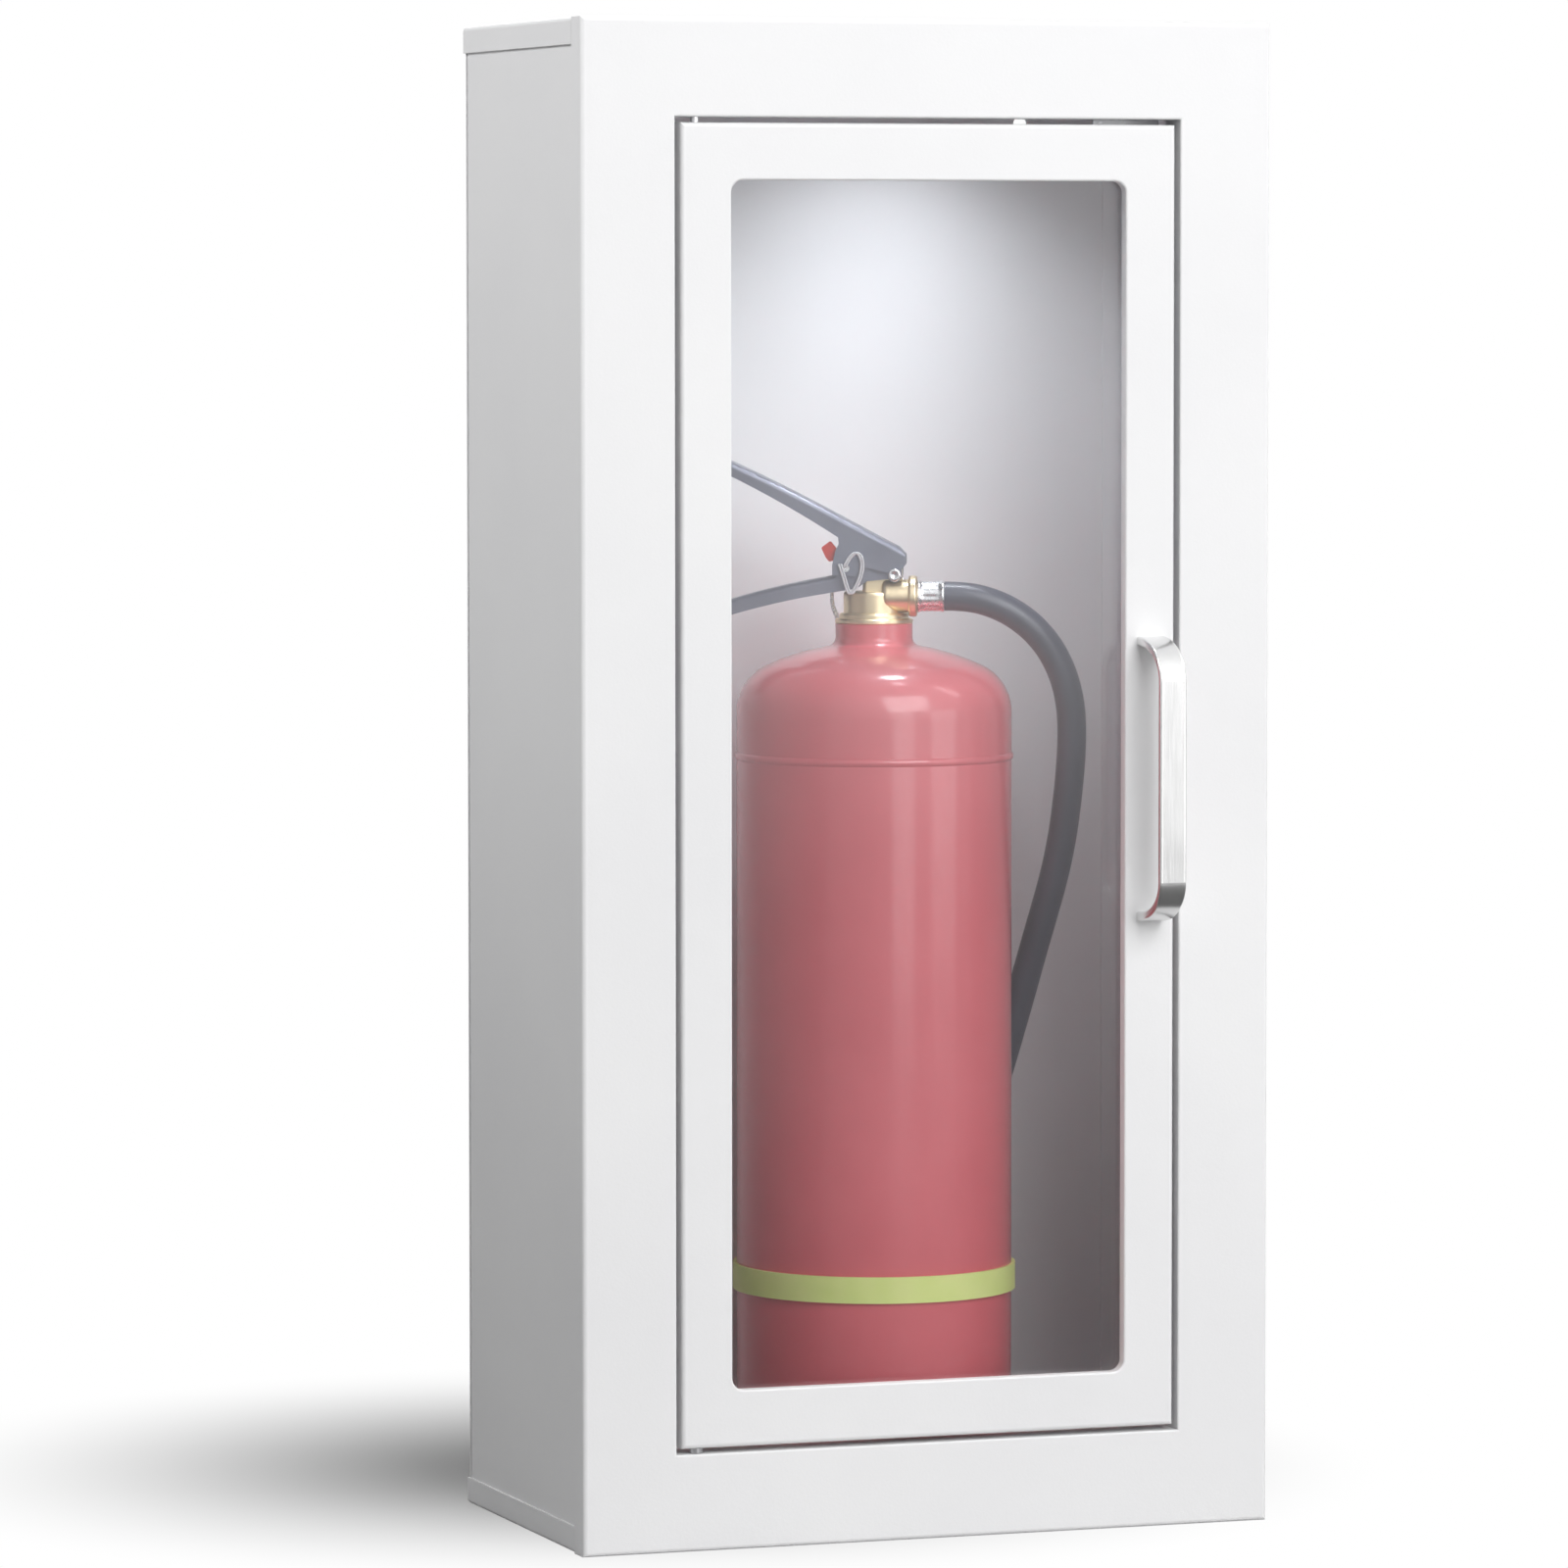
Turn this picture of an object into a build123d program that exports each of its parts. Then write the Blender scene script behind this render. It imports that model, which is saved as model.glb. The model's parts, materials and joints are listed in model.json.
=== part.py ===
from build123d import *
import math
import os

# Wall cabinet of powder-coated steel sheet, with a flush glazed door and the fire
# extinguisher that stands in it. Millimetres. The origin is on the wall plane, at the
# bottom edge and the middle of the width. +X is right, +Y goes into the wall, +Z is up.

# Cabinet shell
CABINET_W = 330.0
CABINET_H = 686.0
CABINET_D = 175.0
SHEET = 1.2
BEND_R = 0.8
FRAME_RETURN = 13.5
TAB_H = 12.0
FLANGE = 12.0
SEAM_GAP = 0.2
JOGGLE_LAP = 5.0
MOUNT_HOLE_D = 7.0
MOUNT_INSET_X = 55.0
MOUNT_INSET_Z = 43.0

# Door opening and door
TRIM_W = 44.0
JAMB_DEPTH = 18.0
DOOR_REVEAL = 2.5
DOOR_DEPTH = 16.0
DOOR_BORDER = 24.0
DOOR_HEAD_BORDER = 25.5
WINDOW_RETURN = 5.5
WINDOW_CORNER_R = 5.5
WINDOW_EDGE_R = 1.0

# Glazing and the strips that hold it
PANE_T = 3.0
PANE_LAP = 6.0
STRIP_T = 1.0
STRIP_FOOT = 11.0
STRIP_GRIP = 4.8
STRIP_GAP = 0.3
STRIP_OVERRUN = 17.0

# Concealed pivots
PIN_INSET = 8.0
PIN_SETBACK = 4.2
PIN_R = 2.0
PIN_CLEARANCE = 0.05
PIN_REACH = 2.0
SHOULDER_R = 3.2
SHOULDER_GAP = 0.3
PIVOT_PLATE_W = 16.0
PIVOT_PLATE_T = 3.0
PIVOT_PLATE_GAP = 0.8
BRACKET_W = 24.0
BRACKET_T = 2.0
BRACKET_RISE = 16.0
BRACKET_DEPTH = 15.0

# Magnetic catch
CATCH_INSET = 17.0
CATCH_W = 32.0
CATCH_H = 13.0
CATCH_DEPTH = 8.0
CATCH_GAP = 0.3
CATCH_TOP_GAP = 4.0
STRIKE_T = 1.5
STRIKE_W = 24.0
STRIKE_LEG = 16.0
POLE_T = 1.5
POLE_PROUD = 0.2

# Pull handle
HANDLE_L = 130.0
HANDLE_W = 13.0
HANDLE_PROUD = 29.0
HANDLE_T = 3.3
HANDLE_FOOT_T = 4.5
HANDLE_BEND = 19.5
HANDLE_EDGE_R = 1.2
SCREW_R = 1.5
SCREW_DEPTH = 5.5
SCREW_HEAD_R = 3.0
SCREW_HEAD_T = 2.0
SCREW_SLOT = 1.0
SCREW_CLEARANCE = 0.05

# Extinguisher
EXT_X = 4.0
ROOM_IN_FRONT = 21.5
ROOM_BEHIND = 26.5
SHELL_R = (CABINET_D - ROOM_IN_FRONT - ROOM_BEHIND) / 2
EXT_Y = -ROOM_BEHIND - SHELL_R
SHELL_T = 1.5
SKIRT_H = 23.0
SKIRT_T = 2.0
SKIRT_GAP = 0.2
BOTTOM_LIFT = 6.0
BOTTOM_KNUCKLE = 14.0
KNUCKLE_R = 24.0
CROWN_R = 120.0
NECK_R = 17.8
NECK_H = 9.6247
NECK_TOP_Z = 411.8
NECK_BORE_R = 12.0
NECK_FLARE_R = 4.0
BEAD_DROP = 20.0
BEAD_R = 2.2
BEAD_PROUD = 0.9

# Valve. Its outlet and levers lie in one upright plane, turned a little from the cabinet's face
VALVE_TURN = -22.0
COLLAR_R = 17.9
COLLAR_STEP_T = 2.4
COLLAR_UPPER_R = 16.0
COLLAR_T = 5.0
SPIGOT_R = 10.0
SPIGOT_DEPTH = 8.0
VALVE_R = 14.0
VALVE_BASE_H = 9.8
BLOCK_LEFT = -5.0
BLOCK_RIGHT = 13.0
BLOCK_HALF_W = 8.0
BLOCK_H = 24.0
HORN_R = 7.65
HORN_FORWARD = 6.0
HORN_START = 3.8
HORN_END_R = 2.5
OUTLET_RISE = 7.8
OUTLET_START = 16.1
OUTLET_RING_R = 9.45
OUTLET_RING_T = 4.0
STEM_R = 2.5
STEM_H = 8.4
FERRULE_R = 6.9
FERRULE_L = 12.5
FERRULE_RIB_R = 7.4
FERRULE_RIB_T = 2.6

# Levers. Their outlines are offsets from the extinguisher's axis and from the top of the collar
LEVER_T = 2.0
LEVER_FOLD_R = 2.4
LEVER_GAP = 0.25
RIVET_X = 9.8
RIVET_Z = 17.7
RIVET_R = 2.0
RIVET_HEAD_R = 2.9
RIVET_HEAD_T = 0.9
PIN_X = -12.4
PIN_Z = 20.6
SAFETY_PIN_R = 1.5
SAFETY_PIN_CLEARANCE = 0.2
SAFETY_PIN_TIP = 0.7
SAFETY_PIN_TAIL = 5.0
EYE_R = 3.4
EYE_T = 2.2
PULL_RING_X = -2.6
PULL_RING_Z = 5.4
PULL_WIRE_R = 1.2
EYE_CLEARANCE = 0.3
SEAL_WIRE_R = 0.9
SEAL_WIRE_BEND = 1.5
SEAL_T = 2.4
FIT = 0.05
CARRY_TOP = [(-107.0, -9.0), (-64.3, 6.6), (-19.7, 16.8)]
CARRY_CHEEK = [
    (-17.4, 17.3), (-15.0, 24.2), (-8.5, 24.2), (13.1, 21.5), (13.1, 16.2), (-2.8, 14.8), (-7.6, 11.4),
]
CARRY_UNDER = [(-22.1, 9.0), (-64.3, -0.5), (-106.0, -15.8)]
CARRY_LID = [(-108.0, -11.5), (-64.3, 4.6), (-21.7, 14.4)]
CARRY_CLEAR = [(-21.7, 60.0), (30.0, 60.0), (30.0, -40.0), (-108.0, -40.0)]
SQUEEZE_TOP = [(-110.0, 88.5), (-64.5, 69.1), (-16.7, 45.1)]
SQUEEZE_NOSE = [(11.6, 30.1), (14.7, 26.7), (14.7, 22.2), (13.2, 20.4)]
SQUEEZE_EAR = [(13.2, 17.7), (9.8, 14.3), (6.4, 17.7)]
SQUEEZE_CHEEK = [
    (6.2, 18.9), (-5.0, 21.4), (-8.5, 17.0), (-18.8, 17.6), (-18.8, 22.2), (-17.3, 28.9), (-15.8, 31.9),
]
SQUEEZE_UNDER = [(-16.1, 34.9), (-52.0, 56.1), (-110.0, 82.3)]
SQUEEZE_LID = [(-112.0, 87.0), (-64.5, 66.8), (-16.7, 42.8)]
SQUEEZE_CLEAR = [(9.5, 28.9), (12.5, 25.4), (30.0, 25.4), (30.0, 0.0), (-112.0, 0.0)]
SQUEEZE_KNEE = (-2.5, 37.6)
SEAL_FLAG = [(-23.9, 30.1), (-19.7, 33.3), (-14.5, 27.0), (-17.0, 24.4), (-20.3, 23.7), (-21.8, 25.5)]
SEAL_LOOP = [(-14.9, 22.6), (-10.3, 8.6), (-4.2, 20.7), (-5.2, 29.6), (-12.4, 22.0)]

# Hose
HOSE_R = 6.7
HOSE_LEAD = 11.8
NOZZLE_R = 8.2
NOZZLE_TIP_R = 6.4
NOZZLE_L = 58.0
NOZZLE_COLLAR_L = 14.0
NOZZLE_GAP = 0.5
NOZZLE_BORE_R = 3.0
HOSE_TURN = 30.0
HOSE_END_Z = 96.0
HOSE_TAIL = 42.0
STRAP_Z = 105.0
STRAP_W = 12.0
STRAP_T = 1.6
STRAP_GAP = 0.15

# Places of the hose: distance from the cylinder's flank, bearing in degrees and height
HOSE_PLACES = [
    (-7.32, -27.57, 421.7),
    (2.96, -25.68, 416.1),
    (11.54, -23.73, 408.1),
    (17.97, -22.06, 398.1),
    (23.06, -20.28, 384.2),
    (26.56, -18.11, 366.6),
    (27.97, -14.89, 340.7),
    (24.66, -8.48, 303.1),
    (18.12, 1.4, 262.5),
    (13.92, 13.44, 222.3),
    (10.99, 25.02, 180.0),
]

# Worked out from the sizes above
FRONT = -CABINET_D
BACK_OF_FACE = FRONT + SHEET
SIDE_OUT = CABINET_W / 2 - SHEET
OPENING_W = CABINET_W - 2 * TRIM_W
OPENING_H = CABINET_H - 2 * TRIM_W
DOOR_W = OPENING_W - 2 * DOOR_REVEAL
DOOR_H = OPENING_H - 2 * DOOR_REVEAL
MID_Z = CABINET_H / 2
DOOR_TOP = MID_Z + DOOR_H / 2
WINDOW_W = DOOR_W - 2 * DOOR_BORDER
WINDOW_H = DOOR_H - 2 * DOOR_HEAD_BORDER
PANE_FRONT = FRONT + WINDOW_RETURN
PANE_BACK = PANE_FRONT + PANE_T
JAMB_TOP = MID_Z + OPENING_H / 2 + SHEET
PIN_AT = (-DOOR_W / 2 + PIN_INSET, FRONT + PIN_SETBACK)
HANDLE_X = DOOR_W / 2 - DOOR_BORDER / 2
SCREW_Z = HANDLE_L / 2 - HANDLE_FOOT_T / 2
EXT_BASE = SHEET
KNUCKLE_RISE = math.sqrt((CROWN_R - KNUCKLE_R) ** 2 - (SHELL_R - KNUCKLE_R) ** 2)
CROWN_RISE = math.sqrt(CROWN_R ** 2 - NECK_R ** 2)
SHOULDER_Z = NECK_TOP_Z - NECK_H - CROWN_RISE + KNUCKLE_RISE
MOUNT_X = CABINET_W / 2 - MOUNT_INSET_X
MOUNT_RISE = CABINET_H / 2 - MOUNT_INSET_Z
COLLAR_TOP = NECK_TOP_Z + COLLAR_T
OUTLET_Z = COLLAR_TOP + OUTLET_RISE
HOSE_REACH = SHELL_R + NOZZLE_R + NOZZLE_GAP
HOSE_X = EXT_X + HOSE_REACH * math.cos(math.radians(HOSE_TURN))
HOSE_Y = EXT_Y + HOSE_REACH * math.sin(math.radians(HOSE_TURN))
OUTLET_X_DIR = math.cos(math.radians(VALVE_TURN))
OUTLET_Y_DIR = math.sin(math.radians(VALVE_TURN))
HOSE_START = OUTLET_START + OUTLET_RING_T + FERRULE_L
LEVER_HALF_W = BLOCK_HALF_W + 2 * LEVER_GAP + 2 * LEVER_T
PULL_RING_R = math.dist((PIN_X, PIN_Z), (PULL_RING_X, PULL_RING_Z))


def beside_outlet(reach):
    """Point on the outlet's axis at a distance from the extinguisher's axis."""
    x = EXT_X + reach * OUTLET_X_DIR + HORN_FORWARD * OUTLET_Y_DIR
    y = EXT_Y + reach * OUTLET_Y_DIR - HORN_FORWARD * OUTLET_X_DIR
    return (x, y, OUTLET_Z)


def beside_shell(reach, bearing, z):
    """Point at a distance from the cylinder's flank, in a direction and at a height."""
    away = SHELL_R + reach
    x = EXT_X + away * math.cos(math.radians(bearing))
    return (x, EXT_Y + away * math.sin(math.radians(bearing)), z)


# Hose route from the ferrule round the shoulder and down behind the right flank of the cylinder
HOSE_ROUTE = [
    beside_outlet(HOSE_START),
    beside_outlet(HOSE_START + HOSE_LEAD),
    *[beside_shell(*place) for place in HOSE_PLACES],
    (HOSE_X, HOSE_Y, HOSE_END_Z + HOSE_TAIL),
    (HOSE_X, HOSE_Y, HOSE_END_Z),
]


def block(x, y, z):
    """Box between two limits on each axis."""
    size = Box(x[1] - x[0], y[1] - y[0], z[1] - z[0])
    return Pos((x[0] + x[1]) / 2, (y[0] + y[1]) / 2, (z[0] + z[1]) / 2) * size


def flat(x, y):
    """Flat rectangle between two limits on each axis."""
    return Pos((x[0] + x[1]) / 2, (y[0] + y[1]) / 2) * Rectangle(x[1] - x[0], y[1] - y[0])


def round_at(face, x, y, radius):
    """Rounds the corner of a flat face that lies nearest to a point."""
    corner = face.vertices().sort_by_distance((x, y, 0))[0]
    return fillet(corner, radius)


def bent(face, x, y, inside_x, inside_y):
    """Rounds the outer and inner corner of a fold in a sheet's section."""
    face = round_at(face, x, y, BEND_R + SHEET)
    return round_at(face, inside_x, inside_y, BEND_R)


def rod(radius, length, at, turn=(0, 0, 0)):
    """Cylinder that starts at a point and runs along the turned Z axis."""
    return Pos(*at) * Rot(*turn) * Cylinder(radius, length, align=(Align.CENTER, Align.CENTER, Align.MIN))


def along_y(face, start, depth):
    """Extrudes a face drawn in X and Z from start towards the wall."""
    return Pos(0, start + depth, 0) * Rot(90, 0, 0) * extrude(face, depth)


def turned(points, at):
    """Revolves an outline of radius and height about a vertical axis."""
    return Pos(*at) * revolve(Plane.XZ * make_face(Polyline(*points, close=True)), Axis.Z)


def tray(width, height, depth):
    """Sheet at the front face, folded back on all four sides."""
    low = MID_Z - height / 2
    outer = block((-width / 2, width / 2), (FRONT, FRONT + depth), (low, low + height))
    outer = fillet(outer.edges().group_by(Axis.Y)[0], BEND_R + SHEET)
    half = width / 2 - SHEET
    inner = block((-half, half), (BACK_OF_FACE, FRONT + 2 * depth), (low + SHEET, low + height - SHEET))
    inner = fillet(inner.edges().group_by(Axis.Y)[0], BEND_R)
    return outer - inner


def hole_in_face(part, width, height, depth, corner):
    """Cuts a rectangular hole in the front sheet and folds its edge back."""
    if corner > 0:
        sleeve = RectangleRounded(width + 2 * SHEET, height + 2 * SHEET, corner + SHEET)
        hole = RectangleRounded(width, height, corner)
    else:
        sleeve = Rectangle(width + 2 * SHEET, height + 2 * SHEET)
        hole = Rectangle(width, height)
    part = part + along_y(Pos(0, MID_Z) * sleeve, FRONT, depth)
    part = part - along_y(Pos(0, MID_Z) * hole, FRONT - depth, 3 * depth)
    rim = [e for e in part.edges() if on_rim(e, width)]
    return fillet(rim, WINDOW_EDGE_R)


def on_rim(edge, width):
    """True for an edge on the front face that belongs to a hole of this width."""
    box = edge.bounding_box()
    flat_on_front = abs(box.min.Y - FRONT) < 0.01 and box.size.Y < 0.01
    return flat_on_front and box.max.X < width / 2 + 0.01 and box.min.X > -width / 2 - 0.01


def back_panel():
    """Rear sheet with its four mounting holes."""
    sheet = block((-SIDE_OUT, SIDE_OUT), (-SHEET, 0), (SHEET, CABINET_H - SHEET))
    sheet = fillet(sheet.edges().filter_by(Axis.Y), BEND_R)
    for x in (-MOUNT_X, MOUNT_X):
        for z in (MID_Z - MOUNT_RISE, MID_Z + MOUNT_RISE):
            sheet -= rod(MOUNT_HOLE_D / 2, 4 * SHEET, (x, 2 * SHEET, z), (90, 0, 0))
    return sheet


def right_side_panel():
    """C-shaped side sheet: a web with a flange behind the face and one on the back panel."""
    front = BACK_OF_FACE
    rear = -SHEET
    inside = SIDE_OUT - SHEET
    section = flat((inside, SIDE_OUT), (front, rear))
    section += flat((SIDE_OUT - FLANGE, SIDE_OUT), (front, front + SHEET))
    section += flat((SIDE_OUT - FLANGE, SIDE_OUT), (rear - SHEET, rear))
    section = bent(section, SIDE_OUT, front, inside, front + SHEET)
    section = bent(section, SIDE_OUT, rear, inside, rear - SHEET)
    return Pos(0, 0, 2 * SHEET) * extrude(section, CABINET_H - 4 * SHEET)


def top_panel():
    """Top sheet: tabs folded over the side panels and a stepped lip under the frame's return."""
    half = CABINET_W / 2
    under = CABINET_H - SHEET
    depth = CABINET_D - FRAME_RETURN - SEAM_GAP
    section = flat((-half, half), (under, CABINET_H))
    for side in (-1, 1):
        section += flat(sorted((side * half, side * SIDE_OUT)), (CABINET_H - TAB_H, CABINET_H))
    for side in (-1, 1):
        section = bent(section, side * half, CABINET_H, side * SIDE_OUT, under)
    plate = along_y(section, -depth, depth)
    clear = SIDE_OUT - FLANGE - SEAM_GAP
    lip = block((-clear, clear), (BACK_OF_FACE, -depth + JOGGLE_LAP), (under - SHEET, under))
    lip += block((-clear, clear), (BACK_OF_FACE, BACK_OF_FACE + SHEET), (under - FLANGE, under))
    lip = fillet(lip.edges().filter_by(Axis.X).sort_by_distance((0, BACK_OF_FACE, under))[0], BEND_R + SHEET)
    return plate + lip


def face_frame():
    """Trim round the door opening, folded back round its outside and at the jamb."""
    frame = tray(CABINET_W, CABINET_H, FRAME_RETURN)
    frame = hole_in_face(frame, OPENING_W, OPENING_H, JAMB_DEPTH, 0)
    for z in (JAMB_TOP, CABINET_H - JAMB_TOP):
        frame -= rod(PIN_R + PIN_CLEARANCE, 4 * SHEET, (*PIN_AT, z - 2 * SHEET))
    return frame


def hinge_bracket_top():
    """Angle on the jamb that carries the upper pivot pin."""
    x = (PIN_AT[0] - BRACKET_W / 2, PIN_AT[0] + BRACKET_W / 2)
    y = (BACK_OF_FACE, BACK_OF_FACE + BRACKET_DEPTH)
    bracket = block(x, y, (JAMB_TOP, JAMB_TOP + BRACKET_T))
    bracket += block(x, (BACK_OF_FACE, BACK_OF_FACE + BRACKET_T), (JAMB_TOP, JAMB_TOP + BRACKET_RISE))
    fold = [e for e in bracket.edges().filter_by(Axis.X) if is_inner_fold(e)]
    bracket = fillet(fold, BRACKET_T)
    notch = (PIN_AT[0] - SHOULDER_R, PIN_AT[0] + SHOULDER_R)
    above = JAMB_TOP + BRACKET_T
    bracket -= block(notch, (BACK_OF_FACE, BACK_OF_FACE + 2 * BRACKET_T), (above, above + BRACKET_RISE))
    return bracket - rod(PIN_R + PIN_CLEARANCE, 4 * BRACKET_T, (*PIN_AT, JAMB_TOP - BRACKET_T))


def is_inner_fold(edge):
    """True for the inside corner of the hinge bracket's angle."""
    centre = edge.center()
    return abs(centre.Y - BACK_OF_FACE - BRACKET_T) < 0.01 and abs(centre.Z - JAMB_TOP - BRACKET_T) < 0.01


def catch_bracket():
    """Angle on the jamb's head that holds the magnet behind the door."""
    right = OPENING_W / 2 - CATCH_INSET + CATCH_W / 2
    x = (right - CATCH_W, right)
    block_back = FRONT + DOOR_DEPTH + CATCH_GAP + POLE_PROUD + CATCH_DEPTH
    top = JAMB_TOP + SHEET
    bracket = block(x, (BACK_OF_FACE + BRACKET_T, block_back + SHEET), (JAMB_TOP, top))
    low = JAMB_TOP - SHEET - CATCH_TOP_GAP - CATCH_H
    return bracket + block(x, (block_back, block_back + SHEET), (low, top))


def door_catch():
    """Plastic magnet block with two steel pole plates facing the strike."""
    right = OPENING_W / 2 - CATCH_INSET + CATCH_W / 2
    front = FRONT + DOOR_DEPTH + CATCH_GAP
    top = JAMB_TOP - SHEET - CATCH_TOP_GAP
    body_front = front + POLE_PROUD
    body = block((right - CATCH_W, right), (body_front, body_front + CATCH_DEPTH), (top - CATCH_H, top))
    body = fillet(body.edges().filter_by(Axis.Y), 1.0)
    middle = top - CATCH_H / 2
    for z in (middle - 3 * POLE_T, middle + 2 * POLE_T):
        body += block((right - CATCH_W + 4, right - 4), (front, body_front), (z, z + POLE_T))
    return body


def door_pan():
    """Door sheet folded back all round, with the window's edge folded back as well."""
    pan = tray(DOOR_W, DOOR_H, DOOR_DEPTH)
    pan = hole_in_face(pan, WINDOW_W, WINDOW_H, WINDOW_RETURN, WINDOW_CORNER_R)
    for z in (DOOR_TOP, CABINET_H - DOOR_TOP):
        pan -= rod(PIN_R + PIN_CLEARANCE, 4 * SHEET, (*PIN_AT, z - 2 * SHEET))
    for z in (MID_Z - SCREW_Z, MID_Z + SCREW_Z):
        pan -= rod(SCREW_R + PIN_CLEARANCE, 4 * SHEET, (HANDLE_X, FRONT + 3 * SHEET, z), (90, 0, 0))
    return pan


def door_glazing():
    """Clear pane that laps the window's return."""
    pane = Pos(0, MID_Z) * Rectangle(WINDOW_W + 2 * PANE_LAP, WINDOW_H + 2 * PANE_LAP)
    return along_y(pane, PANE_FRONT, PANE_T)


def strip_section(edge):
    """Z-shaped section of a glazing strip, beside a pane edge at this distance from the middle."""
    web = edge + STRIP_GAP
    section = flat((web, web + STRIP_T), (BACK_OF_FACE, PANE_BACK + STRIP_T))
    section += flat((web - STRIP_GRIP, web + STRIP_T), (PANE_BACK, PANE_BACK + STRIP_T))
    return section + flat((web, web + STRIP_FOOT), (BACK_OF_FACE, BACK_OF_FACE + STRIP_T))


def glazing_retainer_right():
    """Upright strip on the handle side, held by the handle's screws."""
    half = WINDOW_H / 2 + STRIP_OVERRUN
    strip = Pos(0, 0, MID_Z - half) * extrude(strip_section(WINDOW_W / 2 + PANE_LAP), 2 * half)
    for z in (MID_Z - SCREW_Z, MID_Z + SCREW_Z):
        strip -= rod(SCREW_R + PIN_CLEARANCE, 4 * SHEET, (HANDLE_X, FRONT + 4 * SHEET, z), (90, 0, 0))
    return strip


def glazing_retainer_left():
    """Upright strip on the hinge side."""
    half = WINDOW_H / 2 + STRIP_OVERRUN
    strip = Pos(0, 0, MID_Z - half) * extrude(strip_section(WINDOW_W / 2 + PANE_LAP), 2 * half)
    return mirror(strip, Plane.YZ)


def glazing_retainer_top():
    """Level strip between the upright ones."""
    half = WINDOW_W / 2 + PANE_LAP - STRIP_GRIP
    strip = extrude(strip_section(WINDOW_H / 2 + PANE_LAP), half, both=True)
    return Pos(0, 0, MID_Z) * Rot(0, -90, 0) * strip


def hinge_pin(shoulder):
    """Upper pivot pin on its plate inside the door; the lower one has a shoulder in the gap."""
    plate_top = DOOR_TOP - SHEET
    plate_bottom = plate_top - PIVOT_PLATE_T
    left = -DOOR_W / 2 + SHEET + PIVOT_PLATE_GAP
    depth = DOOR_DEPTH - SHEET - 3 * PIVOT_PLATE_GAP
    front = BACK_OF_FACE + PIVOT_PLATE_GAP
    pin = block((left, left + PIVOT_PLATE_W), (front, front + depth), (plate_bottom, plate_top))
    pin = fillet(pin.edges().filter_by(Axis.Z), 1.0)
    reach = DOOR_TOP + DOOR_REVEAL + SHEET + BRACKET_T + PIN_REACH - plate_bottom
    shaft = rod(PIN_R, reach, (*PIN_AT, plate_bottom))
    pin += chamfer(shaft.edges().group_by(Axis.Z)[-1], 0.6)
    if shoulder:
        pin += rod(SHOULDER_R, DOOR_REVEAL - SHOULDER_GAP, (*PIN_AT, DOOR_TOP))
    return pin


def pull_handle():
    """D pull: a flat crowned bar whose ends sweep back to the door as quarter ellipses."""
    half = HANDLE_L / 2
    turn = half - HANDLE_BEND
    deep = HANDLE_PROUD - HANDLE_T
    foot = half - HANDLE_FOOT_T
    outside = EllipticalCenterArc((0, turn), HANDLE_PROUD, HANDLE_BEND, start_angle=0, arc_size=90)
    inside = EllipticalCenterArc((0, turn), deep, HANDLE_BEND - HANDLE_FOOT_T, start_angle=0, arc_size=90)
    upper = [outside, Line((0, half), (0, foot)), inside, Line((HANDLE_PROUD, 0), (HANDLE_PROUD, turn))]
    upper += [Line((deep, 0), (deep, turn)), Line((deep, 0), (HANDLE_PROUD, 0))]
    face = make_face(Curve() + upper)
    face += mirror(face, Plane.XZ)
    side = Plane(origin=(HANDLE_X, FRONT, MID_Z), x_dir=(0, -1, 0), z_dir=(-1, 0, 0))
    handle = extrude(side * face, HANDLE_W / 2, both=True)
    long_edges = [e for e in handle.edges() if is_handle_edge(e)]
    handle = fillet(long_edges, HANDLE_EDGE_R)
    for z in (MID_Z - SCREW_Z, MID_Z + SCREW_Z):
        handle -= rod(SCREW_R, SCREW_DEPTH, (HANDLE_X, FRONT, z), (90, 0, 0))
    return handle


def is_handle_edge(edge):
    """True for an edge that runs along the bar, on either flank."""
    box = edge.bounding_box()
    return box.size.X < 0.01 and box.min.Y < FRONT - 1


def pull_handle_screws():
    """Two pan-head screws from inside the door into the handle's feet."""
    screws = []
    head_seat = BACK_OF_FACE + STRIP_T
    shank = SCREW_R - SCREW_CLEARANCE
    for z in (MID_Z - SCREW_Z, MID_Z + SCREW_Z):
        screw = rod(shank, SCREW_DEPTH - 1 + SHEET + STRIP_T, (HANDLE_X, head_seat, z), (90, 0, 0))
        head = rod(SCREW_HEAD_R, SCREW_HEAD_T, (HANDLE_X, head_seat, z), (-90, 0, 0))
        head = fillet(head.edges().group_by(Axis.Y)[-1], 1.0)
        x = (HANDLE_X - SCREW_HEAD_R, HANDLE_X + SCREW_HEAD_R)
        y = (head_seat + SCREW_HEAD_T - SCREW_SLOT, head_seat + 2 * SCREW_HEAD_T)
        slot = block(x, y, (z - SCREW_SLOT / 2, z + SCREW_SLOT / 2))
        screws.append(screw + head - slot)
    return Compound(screws)


def catch_strike():
    """Steel angle inside the door's head that meets the magnet."""
    middle = OPENING_W / 2 - CATCH_INSET
    x = (middle - STRIKE_W / 2, middle + STRIKE_W / 2)
    rear = FRONT + DOOR_DEPTH
    top = DOOR_TOP - SHEET
    strike = block(x, (rear - DOOR_DEPTH + 2 * SHEET, rear), (top - STRIKE_T, top))
    return strike + block(x, (rear - STRIKE_T, rear), (top - STRIKE_LEG, top))


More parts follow.
